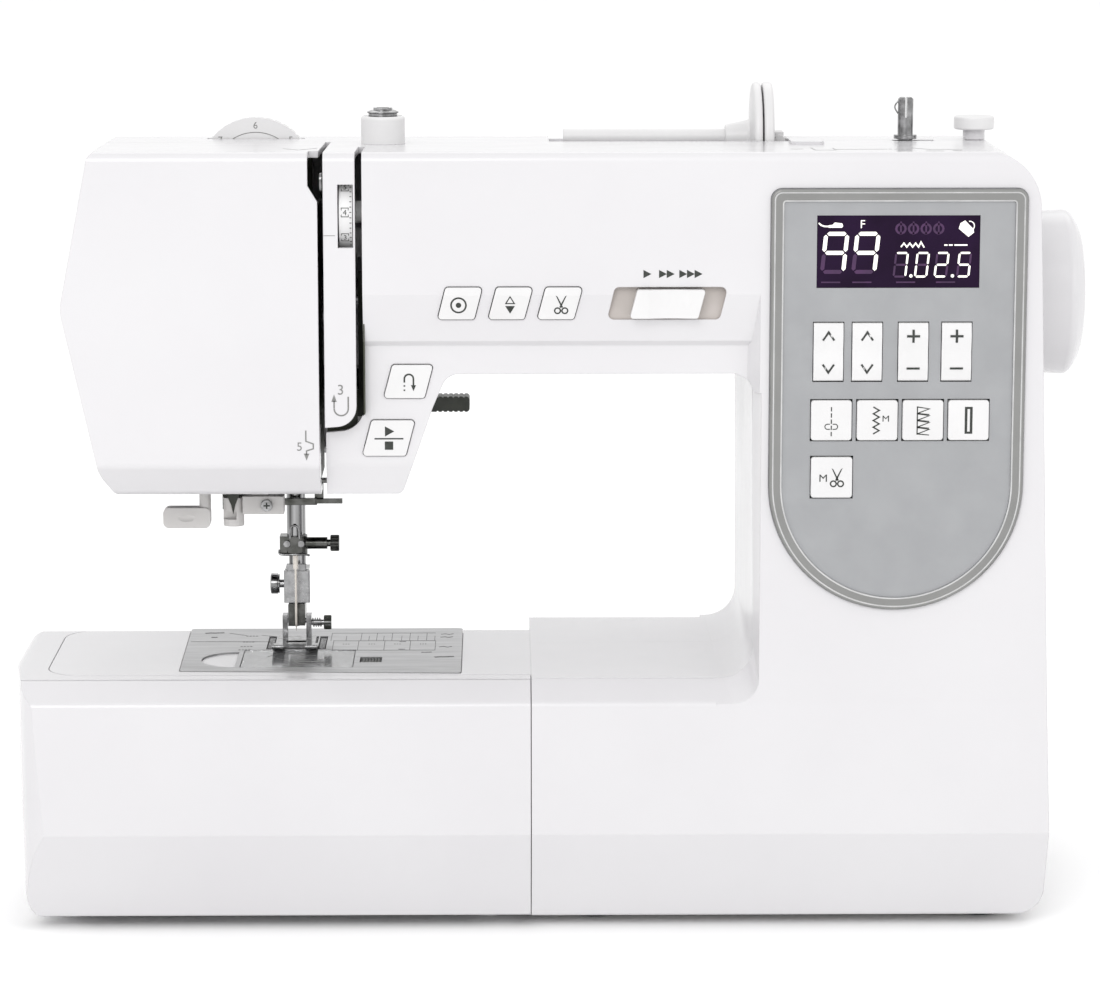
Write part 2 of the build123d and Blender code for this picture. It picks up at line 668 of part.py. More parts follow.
def speed_slider():
    """Sliding knob of the speed control."""
    knob = prism_y(SLIDER_KNOB, FRONT - 2.2, FRONT + SLIDER_DEPTH - GAP)
    knob = knob - rod_z(30.0, 43.0, FRONT - 31.2, 225.0, 250.0)
    stem = block(39.0, 45.0, FRONT + 1, FRONT + 8.0, 236.8, 239.7)
    return knob + stem


# ---------------------------------------------------------------- running gear
def handwheel():
    """Balance wheel with a rounded rim and a shallow dished outer face."""
    profile = [
        (183.6, 5.0, 0.0),
        (206.5, 5.0, 0.0),
        (206.5, 14.0, 30.0),
        (204.9, 25.5, 12.0),
        (201.0, 32.0, 4.0),
        (183.6, 31.0, 1.5),
    ]
    rim = revolve(outline(profile), axis=Axis.X)
    dish = Pos(186.0, 0, 0) * Rot(0, -90, 0) * Cylinder(24.0, 8.0)
    return Pos(0, SHAFT_Y, SHAFT_Z) * (rim - dish + Rot(0, 90, 0) * Pos(0, 0, 186) * tube(9, 5, 8))


def tube(outer, inner, length):
    """Ring at the origin along Z."""
    return Cylinder(outer, length) - Cylinder(inner, length + 2)


def arm_shaft():
    """Upper shaft with crank disc, belt pulleys and balance weight."""
    y, z = SHAFT_Y, SHAFT_Z
    parts = [rod_x(5.0, -88.0, 203.0, y, z)]
    parts.append(rod_x(17.0, -88.0, -78.0, y, z) - block(-90, -76, y - 20, y + 20, z + 6, z + 20))
    parts.append(rod_x(22.0, 158.2, 167.8, y, z))
    parts.append(rod_x(23.4, 156.6, 158.2, y, z))
    parts.append(rod_x(12.0, 140.2, 149.8, y, z))
    return joined(parts)


def motor_pulley():
    """Motor shaft with its small pulley."""
    y, z = MOTOR_Y, MOTOR_Z
    return rod_x(3.0, 149.0, 171.0, y, z) + rod_x(6.0, 158.2, 167.8, y, z)


def lower_shaft():
    """Shaft in the bed with belt pulley and hook gear."""
    y, z = LOWER_Y, LOWER_Z
    parts = [rod_x(4.0, -112.0, 154.0, y, z)]
    parts.append(rod_x(12.0, 140.2, 149.8, y, z))
    gear = rod_x(11.6, NEEDLE_X - 6, NEEDLE_X + 6, y, z)
    teeth = 26
    for i in range(teeth):
        tooth = block(NEEDLE_X - 6, NEEDLE_X + 6, -0.6, 0.6, 10.0, 12.0)
        gear = gear + Pos(0, y, z) * Rot(360.0 / teeth * i, 0, 0) * tooth
    return joined(parts + [gear])


def belt(x0, x1, centres, radii, thickness=1.4, slack=0.2):
    """Flat loop round two pulleys."""
    loops = []
    for grow in (slack + thickness, slack):
        circles = [
            Pos(y, z) * Circle(r + grow) for (y, z), r in zip(centres, radii)
        ]
        edges = circles[0].edges() + circles[1].edges()
        loops.append(make_hull(edges))
    ring = loops[0] - loops[1]
    return extrude(Plane.YZ.offset(x0) * ring, amount=x1 - x0)


def timing_belts():
    """Motor belt and lower shaft belt."""
    top = (SHAFT_Y, SHAFT_Z)
    motor_belt = belt(159.0, 167.0, [top, (MOTOR_Y, MOTOR_Z)], [22.0, 6.0])
    shaft_belt = belt(141.0, 149.0, [top, (LOWER_Y, LOWER_Z)], [12.0, 12.0])
    return group([motor_belt, shaft_belt])


def drive_motor():
    """Drive motor with end bell and foot."""
    y, z = MOTOR_Y, MOTOR_Z
    body = rod_x(25.5, 96.0, 146.0, y, z) + rod_x(14.0, 146.0, 152.0, y, z)
    body = body + rod_x(10.0, 90.0, 96.0, y, z)
    foot = block(102.0, 140.0, y - 12, y + 12, 7.0, 22.0)
    return body + foot - rod_x(3.1, 148.0, 153.0, y, z)


def rotary_hook():
    """Horizontal hook with its raceway, shaft and pinion."""
    x, y = NEEDLE_X, HOOK_Y
    cup = rod_z(18.4, x, y, 75.0, 90.0) - rod_z(16.2, x, y, 77.0, 91.0)
    gate = Pos(x, y, 0) * Rot(0, 0, 35) * block(10, 20, -7, 7, 83.0, 91.0)
    shaft = rod_z(4.0, x, y, 47.6, 75.0)
    pinion = rod_z(7.6, x, y, 57.0, 67.0)
    teeth = 13
    for i in range(teeth):
        tooth = block(6.0, 8.0, -0.7, 0.7, 57.0, 67.0)
        pinion = pinion + Pos(x, y, 0) * Rot(0, 0, 360.0 / teeth * i) * tooth
    return cup - gate + shaft + pinion


def bobbin():
    """Clear bobbin: two flanges on a hub."""
    x, y = NEEDLE_X, HOOK_Y
    parts = [rod_z(10.2, x, y, z, z + 1.0) for z in (77.6, 88.4)]
    parts.append(rod_z(4.6, x, y, 77.6, 89.4))
    return joined(parts) - rod_z(3.0, x, y, 77.0, 90.0)


def needle_bar_frame():
    """Swinging frame that carries the needle bar across the stitch width, with a thread guide."""
    x = NEEDLE_X
    frame = block(x - 6.7, x + 6.7, -3.6, -1.2, 172.0, 274.0)
    for z in (174.0, 240.0):
        frame = frame + block(x - 5.2, x + 5.2, -13.2, -3.6, z, z + 10.0)
    frame = frame - rod_z(3.25, x, NEEDLE_Y, 170.0, 260.0)
    guide = block(x - 6.3, x + 8.9, -15.0, 0.6, 161.4, 163.6)
    guide = guide + block(x + 8.0, x + 18.6, -15.0, -10.0, 161.9, 163.2)
    guide = guide - rod_z(5.6, x, NEEDLE_Y, 160.0, 165.0)
    guide = guide + block(x - 6.3, x - 3.3, -3.0, 0.6, 163.6, 173.0)
    return frame + guide + rod_y(2.5, x, -1.2, 19.0, 268.0)


def needle_bar():
    """Needle bar with its driving collar."""
    x, y = NEEDLE_X, NEEDLE_Y
    bar = rod_z(3.2, x, y, 138.5, 280.0)
    return bar + rod_z(4.1, x, y, 216.0, 226.0)


def needle_clamp():
    """Clamp block at the foot of the needle bar with its thumb screw."""
    x, y = NEEDLE_X, NEEDLE_Y
    body = rod_z(4.7, x, y, 133.2, 140.4) + block(x - 5.8, x, y - 3.6, y + 3.6, 133.2, 140.4)
    body = body + rod_x(2.3, x, x + 12.4, y, 137.2)
    body = body + rod_x(1.4, x + 12.4, x + 13.6, y, 137.2)
    body = body + rod_x(2.9, x + 13.6, x + 17.0, y, 137.2)
    body = body - rod_z(3.2, x, y, 138.5, 142.0)
    return body - rod_z(1.0, x, y, 132.0, 138.6)


def needle():
    """Household needle, round shank and thin blade."""
    x, y = NEEDLE_X, NEEDLE_Y
    shank = rod_z(1.0, x, y, 127.0, 138.4)
    blade = rod_z(0.45, x, y, 105.5, 127.0)
    point = Pos(x, y, 104.0) * Rot(180, 0, 0) * Cone(0.45, 0.05, 3.0)
    return shank + blade + point


def take_up_lever():
    """Flat thread take-up lever with its eye."""
    y, z = TAKE_UP
    side = [
        (y + 6.0, z - 5.0, 4.0),
        (y + 5.0, z + 6.0, 4.0),
        (y - 12.0, z + 14.0, 8.0),
        (y - 40.0, z + 29.0, 3.0),
        (y - 46.5, z + 30.0, 2.5),
        (y - 46.5, z + 23.0, 2.5),
        (y - 36.0, z + 20.0, 6.0),
        (y - 10.0, z + 2.0, 8.0),
    ]
    lever = prism_x(side, -84.85, -83.85) - rod_x(1.4, -86, -83, y - 42.5, z + 26.5)
    return lever + rod_x(2.0, -84.85, -73.0, y, z)


TAKE_UP = (-22.0, 256.0)                   # y and z of the lever's pivot
DIAL_CENTRE = (FRONT + 16.3, 270.5)        # y and z of the tension dial's axis


def tension_dial():
    """Thumbwheel for the upper thread tension."""
    y, z = DIAL_CENTRE
    return rod_x(15.5, -77.6, -72.7, y, z) + rod_x(4.0, -72.7, -66.0, y, z)


def pressure_dial():
    """Thumbwheel for the presser foot pressure, its rim is knurled."""
    y0, y1 = DIAL_Y, DIAL_Y + DIAL_T
    wheel = rod_y(DIAL_R, DIAL_X, y0, y1, DIAL_Z)
    grooves = 40
    for i in range(grooves):
        groove = Pos(0, 0, DIAL_R) * rod_y(0.6, 0, y0 + 2.0, y1 + 1, 0)
        wheel = wheel - Pos(DIAL_X, 0, DIAL_Z) * Rot(0, 360.0 / grooves * i, 0) * groove
    return wheel + rod_y(3.0, DIAL_X, y0 - 2.5, y1 + 6.0, DIAL_Z)


def presser_bar():
    """Presser bar with its guide block."""
    x, y = NEEDLE_X, PRESSER_Y
    bar = rod_z(3.3, x, y, 118.0, 257.0)
    return bar + block(x - 7.0, -66.0, y - 4.7, y + 5.0, 196.0, 204.0)


def foot_holder():
    """Ankle that clips the presser foot to the presser bar."""
    x, y = NEEDLE_X, PRESSER_Y
    body = block(x - 4.6, x + 4.6, y - 5.0, y + 5.0, 112.0, 125.0)
    ankle = block(x - 3.2, x + 3.2, y - 9.0, y + 3.0, 103.4, 112.0)
    slot = rod_x(1.1, x - 4, x + 4, FOOT_PIN[0], FOOT_PIN[1])
    slot = slot + block(x - 4, x + 4, FOOT_PIN[0] - 1.1, FOOT_PIN[0] + 1.1, 101, FOOT_PIN[1])
    screw = rod_x(1.6, x - 8.0, x - 4.6, y, 118.4) + rod_x(3.7, x - 10.4, x - 7.0, y, 118.4)
    return body + ankle + screw - slot - rod_z(3.3, x, y, 118.0, 126.0)


FOOT_PIN = (-0.2, 105.0)                   # y and z of the foot's cross pin
FOOT_LOW = PLATE_TOP + 0.3


def presser_foot():
    """Zigzag foot with two toes, ears and a cross pin."""
    x, low = NEEDLE_X, FOOT_LOW
    heel = block(x - 7.4, x + 7.4, -12.0, 3.0, low, low + 1.7)
    heel = heel - block(x - 8, x + 8, 1.0, 4.0, low - 1, low + 0.5)
    toe_side = [
        (-11.0, low, 0.0),
        (-17.5, low, 4.0),
        (-24.5, low + 2.4, 0.5),
        (-24.5, low + 3.8, 0.5),
        (-18.0, low + 1.7, 4.0),
        (-11.0, low + 1.7, 0.0),
    ]
    foot = heel
    for x0 in (x - 8.6, x + 4.0):
        foot = foot + prism_x(toe_side, x0, x0 + 4.6)
    foot = foot - block(x - 4.0, x + 4.0, -9.8, -6.0, low - 1, low + 3)
    for x0 in (x - 5.6, x + 3.6):
        foot = foot + block(x0, x0 + 2.0, -3.0, 2.4, low + 1, 107.6)
    foot = foot + rod_x(0.95, x - 5.6, x + 5.6, *FOOT_PIN)
    foot = foot + rod_x(1.1, x + 5.6, x + 10.4, -0.8, 104.4)
    return foot + rod_x(2.5, x + 10.4, x + 13.4, -0.8, 104.4)


def feed_dog():
    """Toothed rows that carry the cloth."""
    dog = block(NEEDLE_X - 11.1, NEEDLE_X + 11.1, -3.0, 8.0, 86.6, 91.0)
    for dx in DOG_OFFSETS:
        x = NEEDLE_X + dx
        row = block(x - 1.1, x + 1.1, -10.6, 8.2, 90.6, PLATE_TOP - 0.1)
        for i in range(12):
            y = -10.0 + 1.6 * i
            row = row - Pos(x, y, PLATE_TOP) * Rot(45, 0, 0) * Box(4.0, 0.8, 0.8)
        dog = dog + row
    return dog


def presser_lifter():
    """Lever behind the head that raises the presser foot."""
    x, z = LIFTER_X, LIFTER_Z
    lever = rod_y(4.0, x, 2.6, 56.0, z)
    lever = lever + block(x, x + 14.0, 3.0, 10.0, z - 3.0, z + 7.4)
    arm = prism_y(
        [
            (x - 7.0, z - 7.0, 5.0),
            (x + 36.0, z - 8.4, 1.0),
            (x + 36.0, z - 2.6, 1.0),
            (x - 7.0, z + 7.0, 5.0),
        ],
        51.0,
        55.5,
    )
    pad = block(x + 34.0, x + 50.8, 50.8, 60.0, z - 8.6, z - 2.4)
    pad = fillet(pad.edges().filter_by(Axis.Y), 1.4)
    for i in range(6):
        rib_x = x + 38.0 + 2.1 * i
        pad = pad - rod_y(0.5, rib_x, 49.0, 61.0, z - 2.3) - rod_y(0.5, rib_x, 49.0, 61.0, z - 8.7)
    return lever + arm + pad


def needle_threader():
    """Thumb paddle that draws the threader down to the needle."""
    x, y = -131.0, -32.0
    stem = rod_z(2.2, x, y, 150.0, 240.0)
    paddle = block(-146.8, -128.9, y - 2.6, y + 2.6, 148.0, 155.8)
    paddle = fillet(paddle.edges().filter_by(Axis.Y), 2.2)
    dimple = Pos(-138.0, y - 5.6, 151.9) * scale(Sphere(3.6), by=(1.6, 1.0, 0.75))
    return stem + paddle - dimple


def thread_guide_bracket():
    """Thread cutter with its bracket and screw."""
    y = -32.0
    cutter = rod_z(3.9, -120.2, y, 148.8, 159.6)
    cutter = cutter - block(-125, -119, y - 6, y - 1.0, 151.5, 154.5)
    bracket = block(-116.6, -101.0, y - 4, y + 4, 153.6, 160.4)
    post = block(-113.0, -107.0, y - 2, y + 2, 160.0, 196.0)
    screw = rod_y(2.2, -107.4, y - 5.2, y - 4.0, 157.0)
    return group([cutter + bracket + post, screw])


# ---------------------------------------------------------------- top fittings
def winder_thread_guide():
    """Guide post on the top cover with its metal tension disc."""
    x, y = -63.1, -12.0
    post = rod_z(8.3, x, y, 288.0, 302.4)
    post = fillet(post.edges().sort_by(Axis.Z)[-1], 1.2) - casing(0.0)
    disc = rod_z(5.4, x, y, 302.4, 303.4) + rod_z(2.6, x, y, 303.4, 304.4)
    disc = disc + rod_z(3.6, x, y, 304.4, 305.4)
    return group([post, disc])


def winder_stopper():
    """Round stopper that limits the bobbin's fill."""
    cap = rod_z(7.7, STOPPER_X, STOPPER_Y, 295.2, 300.2)
    cap = fillet(cap.edges().filter_by(GeomType.CIRCLE), 0.8)
    collar = rod_z(4.2, STOPPER_X, STOPPER_Y, 291.3, 295.2)
    return cap + collar + rod_z(3.1, STOPPER_X, STOPPER_Y, 284.0, 291.3)


def winder_spindle():
    """Bobbin winder spindle with spring, washer and friction wheel."""
    x, y = WINDER_X, WINDER_Y
    pin = rod_z(2.95, x, y, 280.0, 307.8)
    pin = chamfer(pin.edges().sort_by(Axis.Z)[-1], 0.7)
    pin = pin - block(x - 0.4, x + 0.4, y - 4, y + 4, 300.0, 309.0)
    washer = rod_z(4.4, x, y, 292.0, 293.4)
    return pin + washer + rod_z(9.0, x, y, 276.0, 280.0)


def spool_pin():
    """Horizontal spool pin with its flange and pivot."""
    y, z = SPOOL_Y, SPOOL_Z
    pin = rod_x(3.0, 5.7, 84.0, y, z)
    flange = rod_x(21.0, 82.7, 86.5, y, z)
    flange = fillet(flange.edges().filter_by(GeomType.CIRCLE), 1.2)
    knuckle = block(86.0, 91.0, y - 5, y + 5, z - 4, z + 2) + rod_y(2.0, PIVOT_X, y - 8, y + 8, z - 1)
    return pin + flange + knuckle


PIVOT_X = 89.5


def spool_holder():
    """Cap that slides on the spool pin and holds the spool."""
    y, z = SPOOL_Y, SPOOL_Z
    profile = [
        (68.5, 3.15, 0.0),
        (82.1, 3.15, 0.0),
        (82.1, 21.0, 1.4),
        (79.0, 21.0, 1.4),
        (78.0, 6.5, 1.5),
        (68.5, 4.6, 0.6),
    ]
    return Pos(0, y, z) * revolve(outline(profile), axis=Axis.X)


# ---------------------------------------------------------------- fixed inner pieces
ARM_BEARINGS = (-72.0, 40.0, 122.0)
BED_BEARINGS = (-72.0, 60.0)


def cast_frame():
    """Aluminium frame: head plate, arm web, column web, bed web and bearings."""
    parts = [block(-122.0, 154.0, 38.0, 46.0, 216.0, 262.0)]
    parts.append(block(84.0, 154.0, 38.0, 46.0, 76.0, 262.0))
    parts.append(block(84.0, 176.0, 38.0, 46.0, 254.0, 264.0))
    parts.append(block(-150.0, 154.0, 9.0, 15.0, 47.6, 80.0))
    for x in (84.0, 146.0):
        parts.append(block(x, x + 8, 9.0, 46.0, 72.0, 80.0))
    for x in (4.0, 78.0):
        parts.append(block(x, x + 10, 9.0, 15.0, 7.0, 50.0))
    parts.append(block(-122.0, -92.0, 12.0, 20.0, 172.0, 276.0))
    parts.append(block(-122.0, -92.0, 20.0, 46.0, 216.0, 250.0))
    for z in (178.0, 236.0):
        parts.append(block(NEEDLE_X - 6.2, NEEDLE_X + 6.2, 1.4, 12.0, z, z + 10))
    parts.append(block(-137.0, -120.0, -37.0, 20.0, 196.0, 202.0))
    for x in ARM_BEARINGS:
        parts.append(block(x, x + 10, 3.0, 38.0, 222.0, 242.0))
    parts.append(block(170.0, 176.0, 3.0, 46.0, 222.0, 264.0))
    for x in BED_BEARINGS:
        parts.append(block(x, x + 8, -14.0, 9.0, 54.5, 69.5))
    parts.append(block(NEEDLE_X - 8, NEEDLE_X + 8, HOOK_Y - 8, 9.0, 47.6, 49.6))
    for x in (-136.0, -50.0):
        parts.append(block(x, x + 8, 9.0, 15.0, 80.0, PLATE_TOP - PLATE_T))
    parts.append(block(-79.0, -62.0, -27.0, 3.0, 250.5, 261.5))
    parts.append(block(-72.0, -62.0, 3.0, 38.0, 242.0, 261.5))
    for x, z in SCREWS:
        parts.append(rod_y(4.5, x, 45.0, 47.4, z))
    frame = joined(parts)
    y, z = SHAFT_Y, SHAFT_Z
    cuts = [rod_x(8.0, x - 1, x + 11, y, z) for x in ARM_BEARINGS + (169.5,)]
    cuts = cuts + [rod_x(6.0, x - 1, x + 9, LOWER_Y, LOWER_Z) for x in BED_BEARINGS]
    cuts.append(rod_z(3.35, NEEDLE_X, PRESSER_Y, 170.0, 250.0))
    cuts.append(rod_y(2.56, NEEDLE_X, 10.0, 22.0, 268.0))
    cuts.append(rod_z(2.26, -131.0, -32.0, 190.0, 210.0))
    cuts.append(rod_z(4.06, NEEDLE_X, HOOK_Y, 45.0, 52.0))
    cuts.append(rod_x(2.06, -80.0, -71.0, *TAKE_UP))
    for x, z in SCREWS:
        cuts.append(rod_y(1.6, x, 40.0, 48.0, z))
    return frame - joined(cuts)


def shaft_bushes():
    """Sintered bushes in the frame's bearings."""
    y, z = SHAFT_Y, SHAFT_Z
    rings = [tube_x(8.0, 5.05, x, x + 10, y, z) for x in ARM_BEARINGS]
    rings.append(tube_x(8.0, 5.05, 170.0, 176.0, y, z))
    rings = rings + [tube_x(6.0, 4.05, x, x + 8, LOWER_Y, LOWER_Z) for x in BED_BEARINGS]
    return group(rings)


def case_screws():
    """Pan head screws that hold the rear cover to the frame."""
    screws = []
    for x, z in SCREWS:
        head = rod_y(3.2, x, ARM_REAR, ARM_REAR + 1.8, z)
        head = head - block(x - 2.2, x + 2.2, ARM_REAR + 1, ARM_REAR + 3, z - 0.4, z + 0.4)
        screws.append(head + rod_y(1.55, x, 41.0, ARM_REAR, z))
    return group(screws)


FOOT_X = (16.0, 164.0)
FOOT_Y = (-44.0, 50.0)


def base_plate():
    """Moulded floor of the base."""
    c = 0.2
    plate = block(c, 178.0 - c, -58.0 + c, 62.0 - c, SKIRT_Z, 7.0)
    plate = fillet(plate.edges().filter_by(Axis.Z), 3.0)
    vents = [block(60.0 + 7 * i, 63.0 + 7 * i, -30.0, 0.0, 0.0, 9.0) for i in range(8)]
    return plate - joined(vents)


def rubber_feet():
    """Four rubber feet."""
    feet = []
    for x in FOOT_X:
        for y in FOOT_Y:
            foot = rod_z(9.0, x, y, 0.0, SKIRT_Z)
            feet.append(chamfer(foot.edges().sort_by(Axis.Z)[0], 1.0))
    return group(feet)


def power_inlet():
    """Appliance inlet in the right side, with its three pins."""
    y0, y1, z0, z1 = INLET
    c = 0.2
    shell_box = block(171.0, 185.6, y0 + c, y1 - c, z0 + c, z1 - c)
    shell_box = shell_box - block(174.0, 187.0, y0 + 3, y1 - 3, z0 + 3, z1 - 3)
    for i in range(3):
        y = y0 + 8 + 6 * i
        shell_box = shell_box + block(173.0, 182.0, y - 1, y + 1, 58.0, 62.0)
    return shell_box


def power_switch():
    """Rocker of the power switch on its two trunnions."""
    y0, y1, z0, z1 = SWITCH
    c = 0.5
    rocker = block(181.2, 187.2, y0 + c, y1 - c, z0 + c, z1 - c)
    return rocker + rod_z(0.7, 182.0, (y0 + y1) / 2, z0 - 1.0, z1 + 1.0)


# ---------------------------------------------------------------- every node
def build_nodes():
    """Return every piece by its node name."""
    skin = shell()
    front = front_cover(skin) - bottom_opening() - block(180, 190, *SWITCH)
    nodes = {
        "front_cover": front,
        "rear_cover": rear_cover(skin) - bottom_opening(),
        "face_cover": face_cover(skin),
        "free_arm_cover": free_arm_cover(),
        "needle_plate": needle_plate(),
        "bobbin_cover": bobbin_cover(),
        "extension_table": extension_table(),
        "table_lid": table_lid(),
        "control_panel": control_panel(),
        "display_window": display_window(),
        "circuit_boards": circuit_boards(),
        "speed_slider": speed_slider(),
        "handwheel": handwheel(),
        "arm_shaft": arm_shaft(),
        "motor_pulley": motor_pulley(),
        "lower_shaft": lower_shaft(),
        "timing_belts": timing_belts(),
        "drive_motor": drive_motor(),
        "rotary_hook": rotary_hook(),
        "bobbin": bobbin(),
        "needle_bar_frame": needle_bar_frame(),
        "needle_bar": needle_bar(),
        "needle_clamp": needle_clamp(),
        "needle": needle(),
        "take_up_lever": take_up_lever(),
        "tension_dial": tension_dial(),
        "pressure_dial": pressure_dial(),
        "presser_bar": presser_bar(),
        "foot_holder": foot_holder(),
        "presser_foot": presser_foot(),
        "feed_dog": feed_dog(),
        "presser_lifter": presser_lifter(),
        "needle_threader": needle_threader(),
        "thread_guide_bracket": thread_guide_bracket(),
        "winder_thread_guide": winder_thread_guide(),
        "winder_stopper": winder_stopper(),
        "winder_spindle": winder_spindle(),
        "spool_pin": spool_pin(),
        "spool_holder": spool_holder(),
        "cast_frame": cast_frame(),
        "shaft_bushes": shaft_bushes(),
        "case_screws": case_screws(),
        "base_plate": base_plate(),
        "rubber_feet": rubber_feet(),
        "power_inlet": power_inlet(),
        "power_switch": power_switch(),
    }
    nodes.update(key_forms())
    return nodes


def write_parts():
    """Write one STEP file for each node."""
    os.makedirs("parts", exist_ok=True)
    for name, shape in build_nodes().items():
        export_step(shape, f"parts/{name}.step")


write_parts()
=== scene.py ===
import math

import bmesh
import bpy
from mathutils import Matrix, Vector


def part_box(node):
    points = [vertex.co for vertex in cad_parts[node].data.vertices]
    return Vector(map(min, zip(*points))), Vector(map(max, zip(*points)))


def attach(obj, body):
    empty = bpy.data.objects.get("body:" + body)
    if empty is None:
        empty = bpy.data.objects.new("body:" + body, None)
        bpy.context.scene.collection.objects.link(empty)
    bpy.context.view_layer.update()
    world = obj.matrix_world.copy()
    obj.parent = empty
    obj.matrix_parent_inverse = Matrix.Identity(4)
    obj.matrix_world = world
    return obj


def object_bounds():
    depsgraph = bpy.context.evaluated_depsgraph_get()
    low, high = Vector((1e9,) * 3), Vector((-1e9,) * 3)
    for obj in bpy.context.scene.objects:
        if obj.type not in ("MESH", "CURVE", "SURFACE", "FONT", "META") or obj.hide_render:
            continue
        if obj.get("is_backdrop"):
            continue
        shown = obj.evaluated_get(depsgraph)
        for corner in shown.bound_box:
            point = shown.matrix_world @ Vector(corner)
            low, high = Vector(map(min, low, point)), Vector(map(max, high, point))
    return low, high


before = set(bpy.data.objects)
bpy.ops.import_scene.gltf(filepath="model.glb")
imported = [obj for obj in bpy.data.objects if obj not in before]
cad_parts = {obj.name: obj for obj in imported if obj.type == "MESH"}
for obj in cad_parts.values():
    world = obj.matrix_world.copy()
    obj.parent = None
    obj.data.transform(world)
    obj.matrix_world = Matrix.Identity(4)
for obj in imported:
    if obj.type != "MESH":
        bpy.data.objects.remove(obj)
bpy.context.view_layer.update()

MM = 0.001
INK = 0.06                # thickness of a printed mark, mm
SINK = 0.02               # how far a mark reaches into its surface, mm


# ---------------------------------------------------------------- materials
def new_material(name):
    """Empty principled material, its node tree and its shader."""
    made = bpy.data.materials.new(name)
    made.use_nodes = True
    tree = made.node_tree
    return made, tree, tree.nodes["Principled BSDF"]


def noise(tree, size, detail=3.0, stretch=(1.0, 1.0, 1.0)):
    """Noise value with features of the given size in metres, stretched along the axes."""
    place = tree.nodes.new("ShaderNodeTexCoord")
    mapping = tree.nodes.new("ShaderNodeMapping")
    mapping.inputs["Scale"].default_value = [1.0 / s for s in stretch]
    tree.links.new(place.outputs["Object"], mapping.inputs["Vector"])
    texture = tree.nodes.new("ShaderNodeTexNoise")
    texture.inputs["Scale"].default_value = 1.0 / size
    texture.inputs["Detail"].default_value = detail
    tree.links.new(mapping.outputs["Vector"], texture.inputs["Vector"])
    return texture.outputs["Fac"]


def ramp(tree, value, first, last, start=0.3, end=0.7):
    """Colour that runs from first to last as value goes from start to end."""
    node = tree.nodes.new("ShaderNodeValToRGB")
    low, high = node.color_ramp.elements
    low.position, high.position = start, end
    low.color = (*first, 1.0)
    high.color = (*last, 1.0)
    tree.links.new(value, node.inputs["Fac"])
    return node.outputs["Color"]


def spread(tree, value, low, high):
    """Value carried to the range from low to high."""
    node = tree.nodes.new("ShaderNodeMapRange")
    node.inputs["From Min"].default_value = 0.3
    node.inputs["From Max"].default_value = 0.7
    node.inputs["To Min"].default_value = low
    node.inputs["To Max"].default_value = high
    tree.links.new(value, node.inputs["Value"])
    return node.outputs["Result"]


def surface(name, dark, light, patch, rough, grain, depth, edge=0.0, stretch=(1, 1, 1), **sockets):
    """Finish whose colour drifts over patches, with uneven gloss, a fine grain and softened edges."""
    made, tree, shader = new_material(name)
    link = tree.links.new
    drift = noise(tree, patch, 4.0, stretch)
    link(ramp(tree, drift, dark, light), shader.inputs["Base Color"])
    link(spread(tree, noise(tree, patch * 0.4, 2.0, stretch), *rough), shader.inputs["Roughness"])
    bump = tree.nodes.new("ShaderNodeBump")
    bump.inputs["Strength"].default_value = 0.6
    bump.inputs["Distance"].default_value = depth
    link(noise(tree, grain, 2.0, stretch), bump.inputs["Height"])
    if edge:
        soft = tree.nodes.new("ShaderNodeBevel")
        soft.samples = 4
        soft.inputs["Radius"].default_value = edge
        link(soft.outputs["Normal"], bump.inputs["Normal"])
    link(bump.outputs["Normal"], shader.inputs["Normal"])
    for socket, value in sockets.items():
        shader.inputs[socket.replace("_", " ")].default_value = value
    return made


def lamp(name, dark, light, strength):
    """Lit segment of the display."""
    made, tree, shader = new_material(name)
    colour = ramp(tree, noise(tree, 0.004), dark, light)
    tree.links.new(colour, shader.inputs["Base Color"])
    tree.links.new(colour, shader.inputs["Emission Color"])
    shader.inputs["Emission Strength"].default_value = strength
    return made


WHITE = surface(
    "cover_white", (0.615, 0.605, 0.62), (0.64, 0.632, 0.645), 0.09, (0.20, 0.27),
    0.0012, 0.00001, 0.0005, Coat_Weight=0.25, Coat_Roughness=0.12,
)
KEY = surface(
    "key_white", (0.655, 0.65, 0.652), (0.685, 0.68, 0.682), 0.02, (0.30, 0.38),
    0.0006, 0.00001, 0.0003,
)
LEVER = surface(
    "lever_grey", (0.56, 0.545, 0.535), (0.61, 0.595, 0.585), 0.02, (0.34, 0.44),
    0.0005, 0.000015, 0.0005,
)
TRACK = surface(
    "slider_track", (0.42, 0.385, 0.36), (0.47, 0.43, 0.41), 0.012, (0.42, 0.52),
    0.0005, 0.00002,
)
FASCIA = surface(
    "fascia_silver", (0.31, 0.315, 0.325), (0.335, 0.34, 0.35), 0.012, (0.38, 0.46),
    0.0004, 0.000004, Metallic=0.3,
)
BEZEL = surface(
    "bezel_grey", (0.225, 0.225, 0.22), (0.255, 0.255, 0.25), 0.02, (0.28, 0.36),
    0.0006, 0.000004, 0.0003, Metallic=0.5,
)
TRIM = surface(
    "bezel_bright", (0.47, 0.47, 0.47), (0.58, 0.58, 0.58), 0.006, (0.18, 0.26),
    0.0006, 0.00001, Metallic=0.85,
)
DISPLAY = surface(
    "display_tint", (0.008, 0.002, 0.012), (0.016, 0.005, 0.026), 0.02, (0.14, 0.22),
    0.001, 0.000004, 0.0002, Specular_IOR_Level=0.1,
)
STEEL = surface(
    "plate_steel", (0.36, 0.36, 0.365), (0.44, 0.44, 0.445), 0.0022, (0.30, 0.42),
    0.0005, 0.000012, 0.0002, (14.0, 1.0, 1.0), Metallic=0.9,
)
